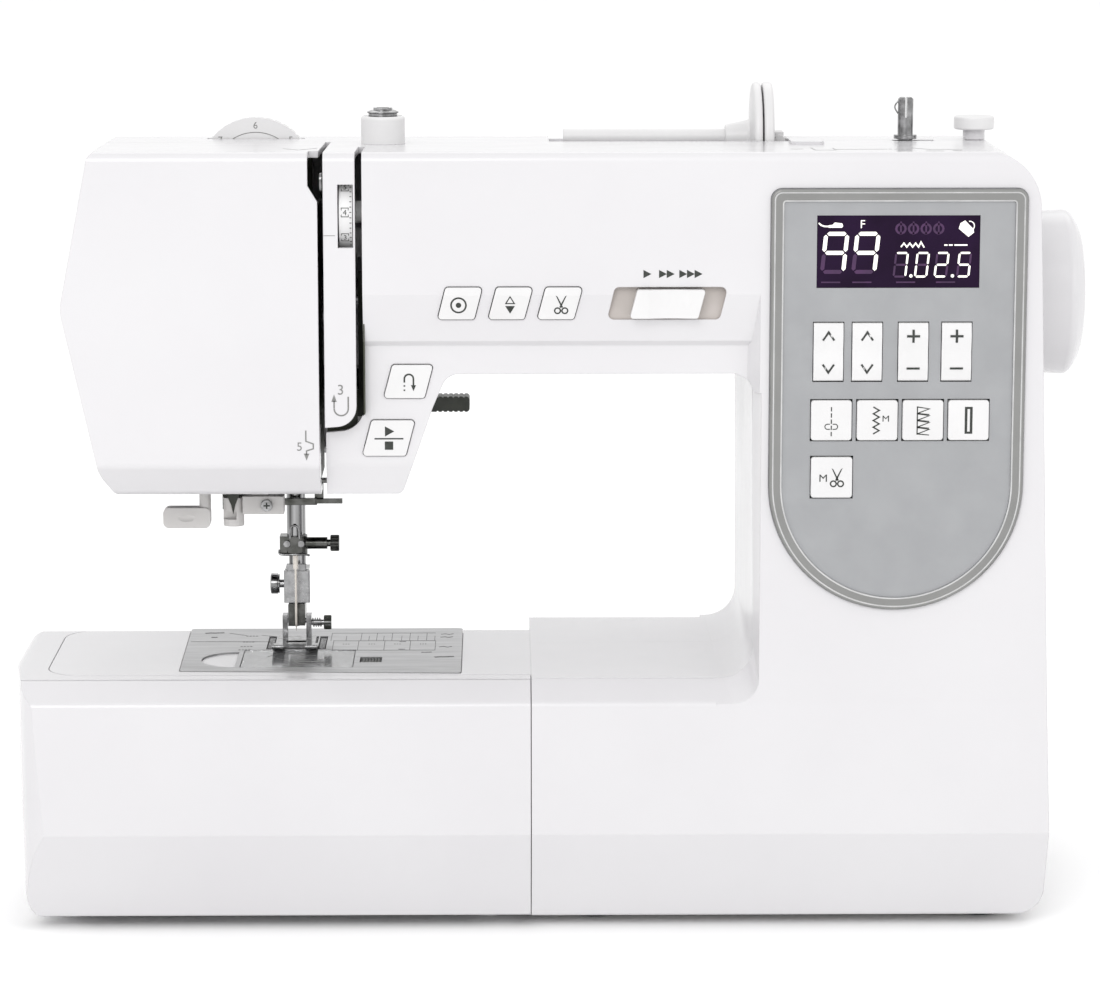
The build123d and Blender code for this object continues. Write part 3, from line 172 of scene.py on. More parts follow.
NEEDLE_STEEL = surface(
    "needle_steel", (0.60, 0.56, 0.51), (0.70, 0.66, 0.61), 0.002, (0.18, 0.26),
    0.0006, 0.000004, Metallic=0.6,
)
MACHINED = surface(
    "machined_steel", (0.28, 0.28, 0.285), (0.40, 0.40, 0.405), 0.003, (0.24, 0.36),
    0.0006, 0.00001, 0.0003, Metallic=0.95,
)
CHROME = surface(
    "chrome_plate", (0.14, 0.14, 0.14), (0.38, 0.38, 0.385), 0.003, (0.10, 0.18),
    0.0008, 0.000006, 0.0004, Metallic=1.0,
)
DARK_CHROME = surface(
    "dark_chrome", (0.05, 0.052, 0.046), (0.13, 0.13, 0.125), 0.004, (0.16, 0.26),
    0.0008, 0.000008, 0.0003, Metallic=1.0,
)
BRIGHT_BAR = surface(
    "drawn_bar", (0.05, 0.05, 0.048), (0.46, 0.46, 0.465), 0.0026, (0.10, 0.16),
    0.0006, 0.000004, 0.0, (1.0, 1.0, 60.0), Metallic=1.0,
)
CAST = surface(
    "cast_aluminium", (0.46, 0.46, 0.47), (0.58, 0.58, 0.59), 0.008, (0.42, 0.55),
    0.0009, 0.00008, Metallic=0.85,
)
BRONZE = surface(
    "bush_bronze", (0.36, 0.23, 0.10), (0.46, 0.30, 0.14), 0.002, (0.36, 0.5),
    0.0005, 0.00002, Metallic=0.9,
)
MOTOR = surface(
    "motor_black", (0.015, 0.015, 0.016), (0.03, 0.03, 0.032), 0.006, (0.35, 0.48),
    0.0006, 0.00002, 0.0004,
)
BLACK = surface(
    "black_plastic", (0.008, 0.011, 0.006), (0.02, 0.024, 0.014), 0.006, (0.32, 0.46),
    0.0005, 0.00002, 0.0003,
)
# Painted shade: near-black finish for the walls inside the thread slots, it stands in for the shade deep in
# the slots.
SLOT_SHADE = surface(
    "slot_shade_black", (0.018, 0.022, 0.011), (0.05, 0.054, 0.033), 0.012, (0.4, 0.6),
    0.0008, 0.00002,
)
BOARD = surface(
    "board_green", (0.02, 0.10, 0.045), (0.035, 0.16, 0.07), 0.006, (0.3, 0.45),
    0.0005, 0.00002,
)
RUBBER = surface(
    "foot_rubber", (0.05, 0.05, 0.052), (0.08, 0.08, 0.083), 0.004, (0.6, 0.75),
    0.0006, 0.00004,
)
CLEAR = surface(
    "clear_plastic", (0.86, 0.87, 0.88), (0.93, 0.94, 0.95), 0.01, (0.06, 0.16),
    0.0016, 0.00001, 0.0003, Transmission_Weight=0.88, IOR=1.49,
)
# Dark print for the icons and numbers; the same finish is also painted shade in the screw's cross recess and
# in the pretension slot.
PRINT_AND_SHADE = surface(
    "print_and_shade_dark", (0.014, 0.018, 0.014), (0.03, 0.034, 0.03), 0.002, (0.45, 0.6),
    0.0004, 0.00001,
)
PRINT_GREY = surface(
    "print_grey", (0.17, 0.17, 0.165), (0.23, 0.23, 0.225), 0.002, (0.45, 0.6),
    0.0004, 0.00001,
)
ENGRAVED = surface(
    "engraved_line", (0.07, 0.07, 0.072), (0.13, 0.13, 0.13), 0.002, (0.4, 0.6),
    0.0004, 0.00001, Metallic=0.5,
)
LIT = lamp("segment_lit", (0.78, 0.76, 0.70), (0.88, 0.86, 0.80), 0.55)
UNLIT = lamp("segment_unlit", (0.030, 0.006, 0.042), (0.050, 0.010, 0.064), 0.15)


NODE_MATERIALS = {
    WHITE: ["front_cover", "rear_cover", "face_cover", "free_arm_cover", "extension_table",
            "table_lid", "handwheel"],
    KEY: ["lock_button", "needle_position_button", "thread_cut_button", "reverse_button",
          "start_stop_button", "pattern_tens_key", "pattern_units_key", "stitch_width_key",
          "stitch_length_key", "straight_stitch_key", "zigzag_stitch_key",
          "overcast_stitch_key", "buttonhole_key", "memory_key", "speed_slider",
          "tension_dial", "pressure_dial", "spool_pin", "spool_holder", "winder_stopper",
          "winder_thread_guide"],
    LEVER: ["needle_threader", "thread_guide_bracket", "base_plate"],
    FASCIA: ["control_panel"],
    DISPLAY: ["display_window"],
    STEEL: ["needle_plate"],
    MACHINED: ["case_screws", "arm_shaft", "motor_pulley", "lower_shaft", "feed_dog"],
    CHROME: ["take_up_lever", "foot_holder", "presser_foot", "rotary_hook", "winder_spindle"],
    DARK_CHROME: ["needle_clamp"],
    NEEDLE_STEEL: ["needle"],
    BRIGHT_BAR: ["needle_bar", "presser_bar"],
    CAST: ["cast_frame", "needle_bar_frame"],
    BRONZE: ["shaft_bushes"],
    MOTOR: ["drive_motor"],
    BLACK: ["presser_lifter", "power_inlet", "power_switch"],
    BOARD: ["circuit_boards"],
    RUBBER: ["rubber_feet", "timing_belts"],
    CLEAR: ["bobbin_cover", "bobbin"],
}
for finish, names in NODE_MATERIALS.items():
    for node_name in names:
        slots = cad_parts[node_name].data.materials
        slots.clear()
        slots.append(finish)


def paint(node, finish, test):
    """Give another finish to the faces of a CAD node whose middle passes the test, in mm."""
    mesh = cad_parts[node].data
    mesh.materials.append(finish)
    index = len(mesh.materials) - 1
    for face in mesh.polygons:
        x, y, z = (c / MM for c in face.center)
        if test(x, y, z):
            face.material_index = index


def box_mm(node):
    """Lowest and highest corner of a CAD node in mm."""
    low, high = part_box(node)
    return low / MM, high / MM


# ---------------------------------------------------------------- mesh tools
def add_piece(name, bm, body, finish, smooth=True):
    """Turn a bmesh in mm into a piece that rides on a body."""
    bmesh.ops.scale(bm, vec=(MM, MM, MM), verts=bm.verts)
    bmesh.ops.recalc_face_normals(bm, faces=bm.faces)
    mesh = bpy.data.meshes.new(name)
    bm.to_mesh(mesh)
    bm.free()
    mesh.materials.append(finish)
    for face in mesh.polygons:
        face.use_smooth = smooth
    piece = bpy.data.objects.new(name, mesh)
    bpy.context.scene.collection.objects.link(piece)
    if smooth:
        piece.modifiers.new("soft", "EDGE_SPLIT").split_angle = math.radians(35)
    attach(piece, body)
    return piece


def prism(bm, bottom, top):
    """Closed solid between two rings of points."""
    low = [bm.verts.new(p) for p in bottom]
    high = [bm.verts.new(p) for p in top]
    count = len(low)
    for i in range(count):
        j = (i + 1) % count
        bm.faces.new((low[i], low[j], high[j], high[i]))
    bm.faces.new(low[::-1])
    bm.faces.new(high)


def block(bm, x0, x1, y0, y1, z0, z1, chamfer=0.0):
    """Box with chamfered edges along Z."""
    c = chamfer
    plan = [
        (x0 + c, y0), (x1 - c, y0), (x1, y0 + c), (x1, y1 - c),
        (x1 - c, y1), (x0 + c, y1), (x0, y1 - c), (x0, y0 + c),
    ]
    if not c:
        plan = [(x0, y0), (x1, y0), (x1, y1), (x0, y1)]
    prism(bm, [(x, y, z0) for x, y in plan], [(x, y, z1) for x, y in plan])


def lathe(bm, profile, centre, axis, steps=32):
    """Solid of revolution from (radius, height) points along an axis X, Y or Z."""
    turn = {
        "X": lambda a, b, h: (h, a, b),
        "Y": lambda a, b, h: (a, h, b),
        "Z": lambda a, b, h: (a, b, h),
    }[axis]
    rings = []
    for radius, height in profile:
        ring = []
        for i in range(steps):
            angle = 2 * math.pi * i / steps
            point = turn(radius * math.cos(angle), radius * math.sin(angle), height)
            ring.append(bm.verts.new([c + p for c, p in zip(centre, point)]))
        rings.append(ring)
    for first, second in zip(rings, rings[1:]):
        for i in range(steps):
            j = (i + 1) % steps
            bm.faces.new((first[i], first[j], second[j], second[i]))
    bm.faces.new(rings[0][::-1])
    bm.faces.new(rings[-1])


def wire(bm, points, radius, steps=10):
    """Round wire along a smooth path."""
    curve = bpy.data.curves.new("wire", "CURVE")
    curve.dimensions = "3D"
    curve.bevel_depth = radius
    curve.bevel_resolution = 3
    curve.use_fill_caps = True
    spline = curve.splines.new("NURBS")
    spline.points.add(len(points) - 1)
    for point, place in zip(spline.points, points):
        point.co = (*place, 1.0)
    spline.order_u = 3
    spline.use_endpoint_u = True
    spline.resolution_u = steps
    holder = bpy.data.objects.new("wire", curve)
    mesh = bpy.data.meshes.new_from_object(holder)
    bm.from_mesh(mesh)
    bpy.data.objects.remove(holder)
    bpy.data.curves.remove(curve)
    bpy.data.meshes.remove(mesh)


class Ink:
    """Flat marks drawn on a surface. place turns (across, up, outwards) in mm into a point."""

    def __init__(self, place):
        self.place = place
        self.bm = bmesh.new()

    def polygon(self, points):
        """Filled outline."""
        bottom = [self.place(u, v, -SINK) for u, v in points]
        top = [self.place(u, v, INK) for u, v in points]
        prism(self.bm, bottom, top)

    def line(self, points, width, closed=False):
        """Line of even width with mitred corners."""
        count = len(points)
        left, right = [], []
        for i, (u, v) in enumerate(points):
            before = points[i - 1] if closed or i else points[i]
            after = points[(i + 1) % count] if closed or i < count - 1 else points[i]
            first = Vector((u - before[0], v - before[1]))
            second = Vector((after[0] - u, after[1] - v))
            first = (first if first.length > 1e-9 else second).normalized()
            second = (second if second.length > 1e-9 else first).normalized()
            normal = Vector((-first.y - second.y, first.x + second.x)).normalized()
            reach = width / 2 / max(normal.dot(Vector((-first.y, first.x))), 0.4)
            left.append((u + normal.x * reach, v + normal.y * reach))
            right.append((u - normal.x * reach, v - normal.y * reach))
        if not closed:
            self.polygon_strip(left, right)
            return
        self.polygon_strip(left + left[:1], right + right[:1], True)

    def polygon_strip(self, left, right, loop=False):
        """Closed band between two edges."""
        rows = []
        for a, b in zip(left, right):
            corners = [(*a, -SINK), (*a, INK), (*b, INK), (*b, -SINK)]
            rows.append([self.bm.verts.new(self.place(*corner)) for corner in corners])
        if loop:
            rows[-1] = rows[0]
        for one, two in zip(rows, rows[1:]):
            for i in range(4):
                j = (i + 1) % 4
                self.bm.faces.new((one[i], one[j], two[j], two[i]))
        if not loop:
            self.bm.faces.new(rows[0][::-1])
            self.bm.faces.new(rows[-1])

    def arc(self, centre, radius, start, end, width, steps=20):
        """Arc between two angles in degrees."""
        points = []
        for i in range(steps + 1):
            angle = math.radians(start + (end - start) * i / steps)
            points.append((centre[0] + radius * math.cos(angle), centre[1] + radius * math.sin(angle)))
        if abs(end - start) >= 360:
            self.line(points[:-1], width, True)
        else:
            self.line(points, width)

    def disc(self, centre, radius, steps=24):
        """Filled circle."""
        turn = [2 * math.pi * i / steps for i in range(steps)]
        self.polygon([(centre[0] + radius * math.cos(a), centre[1] + radius * math.sin(a)) for a in turn])

    def glyph(self, text, centre, height, wide=1.0):
        """Number or letter of the given height about a centre."""
        curve = bpy.data.curves.new("glyph", "FONT")
        curve.body = text
        curve.resolution_u = 6
        holder = bpy.data.objects.new("glyph", curve)
        mesh = bpy.data.meshes.new_from_object(holder)
        flat = bmesh.new()
        flat.from_mesh(mesh)
        bmesh.ops.remove_doubles(flat, verts=flat.verts, dist=1e-5)
        us = [v.co.x for v in flat.verts]
        vs = [v.co.y for v in flat.verts]
        middle = ((min(us) + max(us)) / 2, (min(vs) + max(vs)) / 2)
        scale = height / (max(vs) - min(vs))
        grown = bmesh.ops.extrude_face_region(flat, geom=flat.faces[:])
        for item in grown["geom"]:
            if isinstance(item, bmesh.types.BMVert):
                item.co.z = 1.0
        for vert in flat.verts:
            u = centre[0] + (vert.co.x - middle[0]) * scale * wide
            v = centre[1] + (vert.co.y - middle[1]) * scale
            vert.co = self.place(u, v, INK if vert.co.z > 0.5 else -SINK)
        raised = bpy.data.meshes.new("glyph")
        flat.to_mesh(raised)
        flat.free()
        self.bm.from_mesh(raised)
        bpy.data.objects.remove(holder)
        bpy.data.curves.remove(curve)
        bpy.data.meshes.remove(mesh)
        bpy.data.meshes.remove(raised)

    def make(self, name, body, finish, slot):
        """Finish the marks as one piece."""
        return add_piece(name, self.bm, body, finish, smooth=False)


def front_face(y):
    """Upright surface that faces the operator, across is X and up is Z."""
    return lambda u, v, out: (u, y - out, v)


def level_face(z):
    """Level surface, across is X and up is Y."""
    return lambda u, v, out: (u, v, z + out)


# ---------------------------------------------------------------- icons
def scissors(ink, centre, size):
    """Open scissors with the points up."""
    u, v = centre
    s = size
    for side in (-1, 1):
        ink.polygon([
            (u + side * 0.29 * s, v + 0.50 * s),
            (u + side * 0.20 * s, v + 0.44 * s),
            (u - side * 0.10 * s, v - 0.14 * s),
            (u - side * 0.02 * s, v - 0.18 * s),
        ][::side])
        ink.arc((u + side * 0.19 * s, v - 0.33 * s), 0.15 * s, 0, 360, 0.075 * s)


def target(ink, centre, size):
    """Ring with a dot."""
    ink.arc(centre, size * 0.44, 0, 360, size * 0.1, 32)
    ink.disc(centre, size * 0.16)


def up_down(ink, centre, size):
    """Open triangle up over a filled triangle down."""
    u, v = centre
    s = size
    ink.line([(u - 0.24 * s, v + 0.08 * s), (u + 0.24 * s, v + 0.08 * s), (u, v + 0.47 * s)], 0.06 * s, True)
    ink.polygon([(u - 0.27 * s, v - 0.06 * s), (u, v - 0.50 * s), (u + 0.27 * s, v - 0.06 * s)])


def turn_back(ink, centre, size):
    """Stitch line that turns back on itself, one side is dashed."""
    u, v = centre
    s = size
    r = 0.27 * s
    ink.arc((u, v + 0.2 * s), r, 180, 0, 0.1 * s, 14)
    ink.line([(u - r, v + 0.2 * s), (u - r, v - 0.02 * s)], 0.1 * s)
    for drop in (0.18, 0.44):
        ink.line([(u - r, v - drop * s), (u - r, v - (drop + 0.09) * s)], 0.1 * s)
    ink.line([(u + r, v + 0.2 * s), (u + r, v - 0.2 * s)], 0.1 * s)
    ink.polygon([(u + r - 0.15 * s, v - 0.18 * s), (u + r, v - 0.54 * s), (u + r + 0.15 * s, v - 0.18 * s)])


def start_stop(ink, centre, size):
    """Start triangle over a stop square with a line between."""
    u, v = centre
    s = size
    ink.polygon([(u - 0.17 * s, v + 0.10 * s), (u + 0.23 * s, v + 0.32 * s), (u - 0.17 * s, v + 0.54 * s)])
    ink.line([(u - 0.62 * s, v), (u + 0.62 * s, v)], 0.06 * s)
    ink.polygon([
        (u - 0.18 * s, v - 0.48 * s), (u + 0.18 * s, v - 0.48 * s),
        (u + 0.18 * s, v - 0.12 * s), (u - 0.18 * s, v - 0.12 * s),
    ])


def chevron(ink, centre, size, up):
    """Chevron that points up or down."""
    u, v = centre
    rise = 0.33 * size * up
    ink.line([(u - 0.45 * size, v - rise), (u, v + rise), (u + 0.45 * size, v - rise)], 0.16 * size)


# ---------------------------------------------------------------- arm buttons
FRONT = -74.0             # plane of the arm's front face


def upper_button(u, v, out):
    """Face of the three arm buttons, it slants under the crease."""
    crease = 241.4
    slant = 4.5 / 17.6
    return (u, FRONT - 0.9 + max(crease - v, 0.0) * slant - out, v)


def lower_button(u, v, out):
    """Face of the two head buttons."""
    return (u, FRONT + 5.7 + (221.8 - v) * 0.9 / 43.8 - out, v)


ARM_ICONS = [
    ("lock_button", target, upper_button, 6.2, (-0.5, -0.6)),
    ("needle_position_button", up_down, upper_button, 6.6, (-0.1, -0.5)),
    ("thread_cut_button", scissors, upper_button, 7.0, (0.5, -0.4)),
    ("reverse_button", turn_back, lower_button, 6.2, (0.2, -0.2)),
    ("start_stop_button", start_stop, lower_button, 8.6, (0.1, -0.2)),
]
for node_name, draw, place, size, shift in ARM_ICONS:
    low, high = box_mm(node_name)
    marks = Ink(place)
    draw(marks, ((low.x + high.x) / 2 + shift[0], (low.z + high.z) / 2 + shift[1]), size)
    marks.make(node_name + "_icon", node_name, PRINT_AND_SHADE, "key_white")


# ---------------------------------------------------------------- panel keys
def rocker_face(node):
    """Hollowed front of a rocker key."""
    low, high = box_mm(node)
    crests = (low.z + 5.0, high.z - 5.0)

    def place(u, v, out):
        crest = crests[0] if v < (low.z + high.z) / 2 else crests[1]
        inward = (v - crest) if crest == crests[0] else (crest - v)
        fall = 0.122 * inward if inward > 0 else -0.18 * inward
        return (u, max(low.y, low.y - 0.065 + fall) - 0.12 - out, v)

    return place


for node_name in ("pattern_tens_key", "pattern_units_key", "stitch_width_key", "stitch_length_key"):
    low, high = box_mm(node_name)
    middle = (low.x + high.x) / 2
    marks = Ink(rocker_face(node_name))
    top, bottom = high.z - 4.9, low.z + 4.7
    if "pattern" in node_name:
        chevron(marks, (middle, top), 4.6, 1)
        chevron(marks, (middle, bottom), 4.6, -1)
    else:
        marks.line([(middle - 2.4, top), (middle + 2.4, top)], 0.85)
        marks.line([(middle, top - 2.4), (middle, top - 0.43)], 0.85)
        marks.line([(middle, top + 0.43), (middle, top + 2.4)], 0.85)
        marks.line([(middle - 2.4, bottom), (middle + 2.4, bottom)], 0.75)
    marks.make(node_name + "_icon", node_name, PRINT_AND_SHADE, "key_white")


def straight_icon(ink, u, v):
    """Dashed line with a needle-down hook."""
    for i in range(5):
        ink.line([(u, v + 5.0 - 2.3 * i), (u, v + 3.4 - 2.3 * i)], 0.42)
    for side in (-1, 1):
        ink.arc((u + side * 1.4, v - 2.3), 0.95, 90 if side > 0 else 270, -90 if side > 0 else 90, 0.34, 10)
        ink.line([(u + side * 1.4, v - 1.35), (u + side * 0.5, v - 1.35)], 0.34)
        ink.line([(u + side * 1.4, v - 3.25), (u + side * 0.5, v - 3.25)], 0.34)


def zigzag_icon(ink, u, v):
    """Zigzag line with a memory letter."""
    points = [(u + (-1.1 if i % 2 == 0 else 1.1), v + 5.0 - 1.25 * i) for i in range(9)]
    ink.line(points, 0.5)
    ink.glyph("M", (u + 3.5, v + 0.7), 2.2, 1.15)


def overcast_icon(ink, u, v):
    """Overcasting stitch, each stitch a triangle that closes on the left edge."""
    for i in range(4):
        top = v + 5.0 - 2.55 * i
        ink.line([(u - 2.1, top), (u + 2.3, top - 0.7), (u - 2.1, top - 2.4)], 0.42)
        ink.line([(u - 2.1, top - 2.4), (u + 2.3, top - 0.7 - 2.1)], 0.36)
    ink.line([(u - 2.1, v + 5.2), (u - 2.1, v - 5.3)], 0.42)


def buttonhole_icon(ink, u, v):
    """Buttonhole with bar ends."""
    for side in (-1, 1):
        ink.line([(u + side * 0.95, v - 5.0), (u + side * 0.95, v + 5.0)], 0.95)
        ink.line([(u - 0.5, v + side * 4.6), (u + 0.5, v + side * 4.6)], 0.8)


def memory_icon(ink, u, v):
    """Memory letter beside scissors."""
    ink.glyph("M", (u - 3.1, v - 0.2), 2.7, 1.1)
    scissors(ink, (u + 2.0, v), 7.0)


SQUARE_ICONS = {
    "straight_stitch_key": straight_icon,
    "zigzag_stitch_key": zigzag_icon,
    "overcast_stitch_key": overcast_icon,
    "buttonhole_key": buttonhole_icon,
    "memory_key": memory_icon,
}
for node_name, draw in SQUARE_ICONS.items():
    low, high = box_mm(node_name)
    marks = Ink(front_face(low.y))
    draw(marks, (low.x + high.x) / 2 + (-0.4 if draw is zigzag_icon else 0.0), (low.z + high.z) / 2)
    marks.make(node_name + "_icon", node_name, PRINT_AND_SHADE, "key_white")


# ---------------------------------------------------------------- display
glass_low = box_mm("display_window")[0]
GLASS = front_face(glass_low.y)
SEGMENTS = {
    "0": "abcdef", "2": "abged", "5": "afgcd", "7": "abc", "9": "abfgc", "8": "abcdefg",
}


def seven_segment(ink, shape, left, low, width, height, bar, on=True):
    """Slanted seven-segment digit: the lit segments, or the others."""
    lean = 0.1
    half = height / 2
    gap = bar * 0.24

    def at(u, v):
        return (left + u + v * lean - height * lean, low + v)

    def across(v, trim):
        ink.polygon([
            at(gap + bar * 0.5, v), at(bar + gap, v + trim), at(width - bar - gap, v + trim),
            at(width - gap - bar * 0.5, v), at(width - bar - gap, v - trim), at(bar + gap, v - trim),
        ])

    def upright(u, start, end):
        a, b = start + gap, end - gap
        ink.polygon([
            at(u, a), at(u + bar / 2, a + bar / 2), at(u + bar / 2, b - bar / 2),
            at(u, b), at(u - bar / 2, b - bar / 2), at(u - bar / 2, a + bar / 2),
        ])

    middle = bar / 2
    parts = {
        "a": lambda: across(height - middle, middle),
        "g": lambda: across(half, middle),
        "d": lambda: across(middle, middle),
        "f": lambda: upright(middle, half, height - middle),
        "b": lambda: upright(width - middle, half, height - middle),
        "e": lambda: upright(middle, middle, half),
        "c": lambda: upright(width - middle, middle, half),
    }
    for letter, draw_part in parts.items():
        if (letter in SEGMENTS[shape]) == on:
            draw_part()


gx, gz = glass_low.x, glass_low.z
DIGITS = [("9", 2.6, 5.1, 9.2, 15.4, 1.45), ("9", 14.0, 5.1, 9.2, 15.4, 1.45),
          ("7", 28.6, 3.7, 5.0, 9.4, 0.75), ("0", 36.4, 3.7, 4.9, 9.4, 0.75),
          ("2", 43.6, 3.7, 4.9, 9.4, 0.75), ("5", 51.8, 3.7, 4.9, 9.4, 0.75)]
lit, unlit = Ink(GLASS), Ink(GLASS)
for shape, dx, dz, width, height, bar in DIGITS:
    seven_segment(lit, shape, gx + dx, gz + dz, width, height, bar)
    seven_segment(unlit, shape, gx + dx, gz + dz, width, height, bar, on=False)
for dx in (34.4, 49.6):
    lit.disc((gx + dx, gz + 4.3), 0.62, 12)
lit.make("display_digits", "root", LIT, "display_tint")
for dx in (1.6, 13.0, 29.0, 43.6):
    unlit.line([(gx + dx, gz + 2.0), (gx + dx + 7.0, gz + 2.0)], 0.5)
for i in range(4):
    unlit.arc((gx + 30.5 + 4.6 * i, gz + 21.6), 1.7, 0, 360, 0.8, 14)
    unlit.line([(gx + 30.5 + 4.6 * i, gz + 19.4), (gx + 30.5 + 4.6 * i, gz + 24.2)], 0.6)
unlit.make("display_unlit", "root", UNLIT, "display_tint")

signs = Ink(GLASS)
signs.glyph("F", (gx + 16.6, gz + 23.3), 2.9)
width_sign = [(gx + 30.6 + 1.07 * i, gz + (14.9 if i % 2 == 0 else 16.3)) for i in range(9)]
width_sign[-2:] = [(gx + 37.9, gz + 16.7), (gx + 39.1, gz + 14.7)]
signs.line(width_sign, 0.5)
for start, end in ((46.4, 47.6), (48.1, 49.5), (50.1, 54.9)):
    signs.line([(gx + start, gz + 15.6), (gx + end, gz + 15.6)], 0.5)
foot_sign = [(4.1, 22.0), (9.0, 22.0), (9.4, 22.6), (9.0, 23.6), (6.4, 23.9), (5.4, 23.0), (4.1, 22.9)]
signs.polygon([(gx + dx, gz + dz) for dx, dz in foot_sign])
foot_sign_rod = [(0.5, 23.7), (1.4, 22.9), (2.6, 22.5), (4.2, 22.45)]
signs.line([(gx + dx, gz + dz) for dx, dz in foot_sign_rod], 0.55)
tag_sign = [(51.6, 21.6), (55.2, 18.6), (57.2, 20.2), (57.0, 21.4), (53.9, 24.6), (52.2, 23.6)]
signs.polygon([(gx + dx, gz + dz) for dx, dz in tag_sign])
signs.arc((gx + 55.6, gz + 22.6), 1.7, -40, 100, 0.34, 12)
signs.make("display_signs", "root", LIT, "display_tint")


# ---------------------------------------------------------------- panel frame
panel_low, panel_high = box_mm("control_panel")
paint("control_panel", BEZEL, lambda x, y, z: y < panel_low.y + 0.62)


def panel_path(inset):
    """Points round the control panel, inset from its edge."""
    half = (panel_high.x - panel_low.x) / 2 - inset
    middle = (panel_high.x + panel_low.x) / 2
    top = panel_high.z - inset
    arc_z = panel_low.z + (panel_high.x - panel_low.x) / 2
    corner = max(4.0 - inset, 1.0)
    points = []
    for start, cx in ((0, middle + half - corner), (90, middle - half + corner)):
        for i in range(7):
            angle = math.radians(start + 15 * i)
            points.append((cx + corner * math.cos(angle), top - corner + corner * math.sin(angle)))
    for i in range(49):
        angle = math.radians(180 + 180 * i / 48)
        points.append((middle + half * math.cos(angle), arc_z + half * math.sin(angle)))
    return points


for label, inset, width in (("outer", 1.35, 0.5), ("inner", 4.35, 0.55)):
    marks = Ink(front_face(panel_low.y))
    marks.line(panel_path(inset), width, True)
    marks.make("panel_" + label + "_line", "root", TRIM, "panel_silver")


# ---------------------------------------------------------------- arm front
marks = Ink(front_face(FRONT))
for start, count in ((33.5, 1), (39.2, 2), (46.6, 3)):
    for i in range(count):
        u = start + 2.8 * i
        marks.polygon([(u, 247.7), (u + 2.9, 249.2), (u, 250.7)])
marks.make("speed_marks", "root", PRINT_AND_SHADE, "cover_white")

paint(
    "front_cover", TRACK,
    lambda x, y, z: 19.8 < x < 64.8 and 231.8 < z < 244.8 and FRONT + 0.35 < y < FRONT + 3.3,
)

HOOK_X, HOOK_Z, HOOK_R = -77.3, 199.7, 2.6       # middle of the thread hook printed on the tongue
marks = Ink(front_face(FRONT))
marks.glyph("3", (HOOK_X - 0.2, HOOK_Z + 7.0), 3.7)
marks.line([(HOOK_X - HOOK_R, HOOK_Z + 2.9), (HOOK_X - HOOK_R, HOOK_Z + 0.1)], 0.55)
marks.arc((HOOK_X, HOOK_Z), HOOK_R, 180, 360, 0.55, 16)
marks.line([(HOOK_X + HOOK_R, HOOK_Z), (HOOK_X + HOOK_R, HOOK_Z + 4.4)], 0.55)
marks.polygon([(HOOK_X - 3.6, HOOK_Z + 2.5), (HOOK_X - 1.6, HOOK_Z + 2.5), (HOOK_X - HOOK_R, HOOK_Z + 5.3)])
marks.line([(-83.2, 263.4), (-79.0, 263.4)], 0.22)
marks.make("tongue_marks", "root", PRINT_GREY, "cover_white")

marks = Ink(front_face(FRONT))
marks.glyph("5", (-92.8, 185.6), 3.1)
thread_path = [
    (-90.4, 191.6), (-90.4, 187.6), (-87.7, 186.6),
    (-87.7, 184.8), (-90.2, 184.0), (-90.2, 182.6),
]
marks.line(thread_path, 0.5)
marks.polygon([(-91.2, 183.0), (-90.2, 180.4), (-89.2, 183.0)])
marks.make("face_cover_marks", "face_cover", PRINT_GREY, "cover_white")


# ---------------------------------------------------------------- thread channel, painted shade inside the slots
SLOT_FRONT = -71.2        # the dark walls start this far behind the front
SLOT_TOP = 290.0
TONGUE_LEFT, TONGUE_RIGHT = -83.1, -71.8
HEAD_LEFT = -69.1         # wall of the head beside the right slot


def liner(name, body, walls):
    """Thin dark walls inside a thread slot, painted shade for the depth of the slot, each given by its X, Y
    and Z limits.
    """
    bm = bmesh.new()
    for limits in walls:
        block(bm, *limits)
    add_piece(name, bm, body, SLOT_SHADE, smooth=False)


liner("thread_channel_left_shade", "root", [
    (TONGUE_LEFT, TONGUE_LEFT + 0.5, SLOT_FRONT, -26.0, 196.0, SLOT_TOP),
    (TONGUE_LEFT, TONGUE_RIGHT, -60.0, -59.4, 172.0, 206.0),
])
liner("thread_channel_right_shade", "root", [
    (HEAD_LEFT, HEAD_LEFT + 0.5, SLOT_FRONT, -30.0, 197.0, 264.0),
    (HEAD_LEFT, HEAD_LEFT + 0.5, SLOT_FRONT, -30.0, 278.0, SLOT_TOP),
    (TONGUE_RIGHT - 0.5, TONGUE_RIGHT, SLOT_FRONT, -66.0, 206.0, 250.0),
    (TONGUE_RIGHT - 0.5, HEAD_LEFT + 0.5, -34.0, -33.4, 197.0, 246.0),
])
liner("thread_channel_cover_shade", "face_cover", [
    (-86.3, -85.8, SLOT_FRONT, -26.0, 182.0, 273.0),
    (-86.3, -85.8, -62.5, -26.0, 170.0, 182.0),
    (-89.8, -89.3, SLOT_FRONT, -26.0, 273.0, SLOT_TOP - 0.5),
])


# ---------------------------------------------------------------- dials
dial_low, dial_high = box_mm("tension_dial")
DIAL_R = (dial_high.z - dial_low.z) / 2
DIAL_Y = (dial_low.y + dial_high.y) / 2
DIAL_Z = (dial_low.z + dial_high.z) / 2


def dial_rim(u, v, out):
    """Rim of the tension dial, up is the distance round the rim from its foremost line."""
    angle = v / DIAL_R
    reach = DIAL_R + out
    return (u, DIAL_Y - reach * math.cos(angle), DIAL_Z + reach * math.sin(angle))


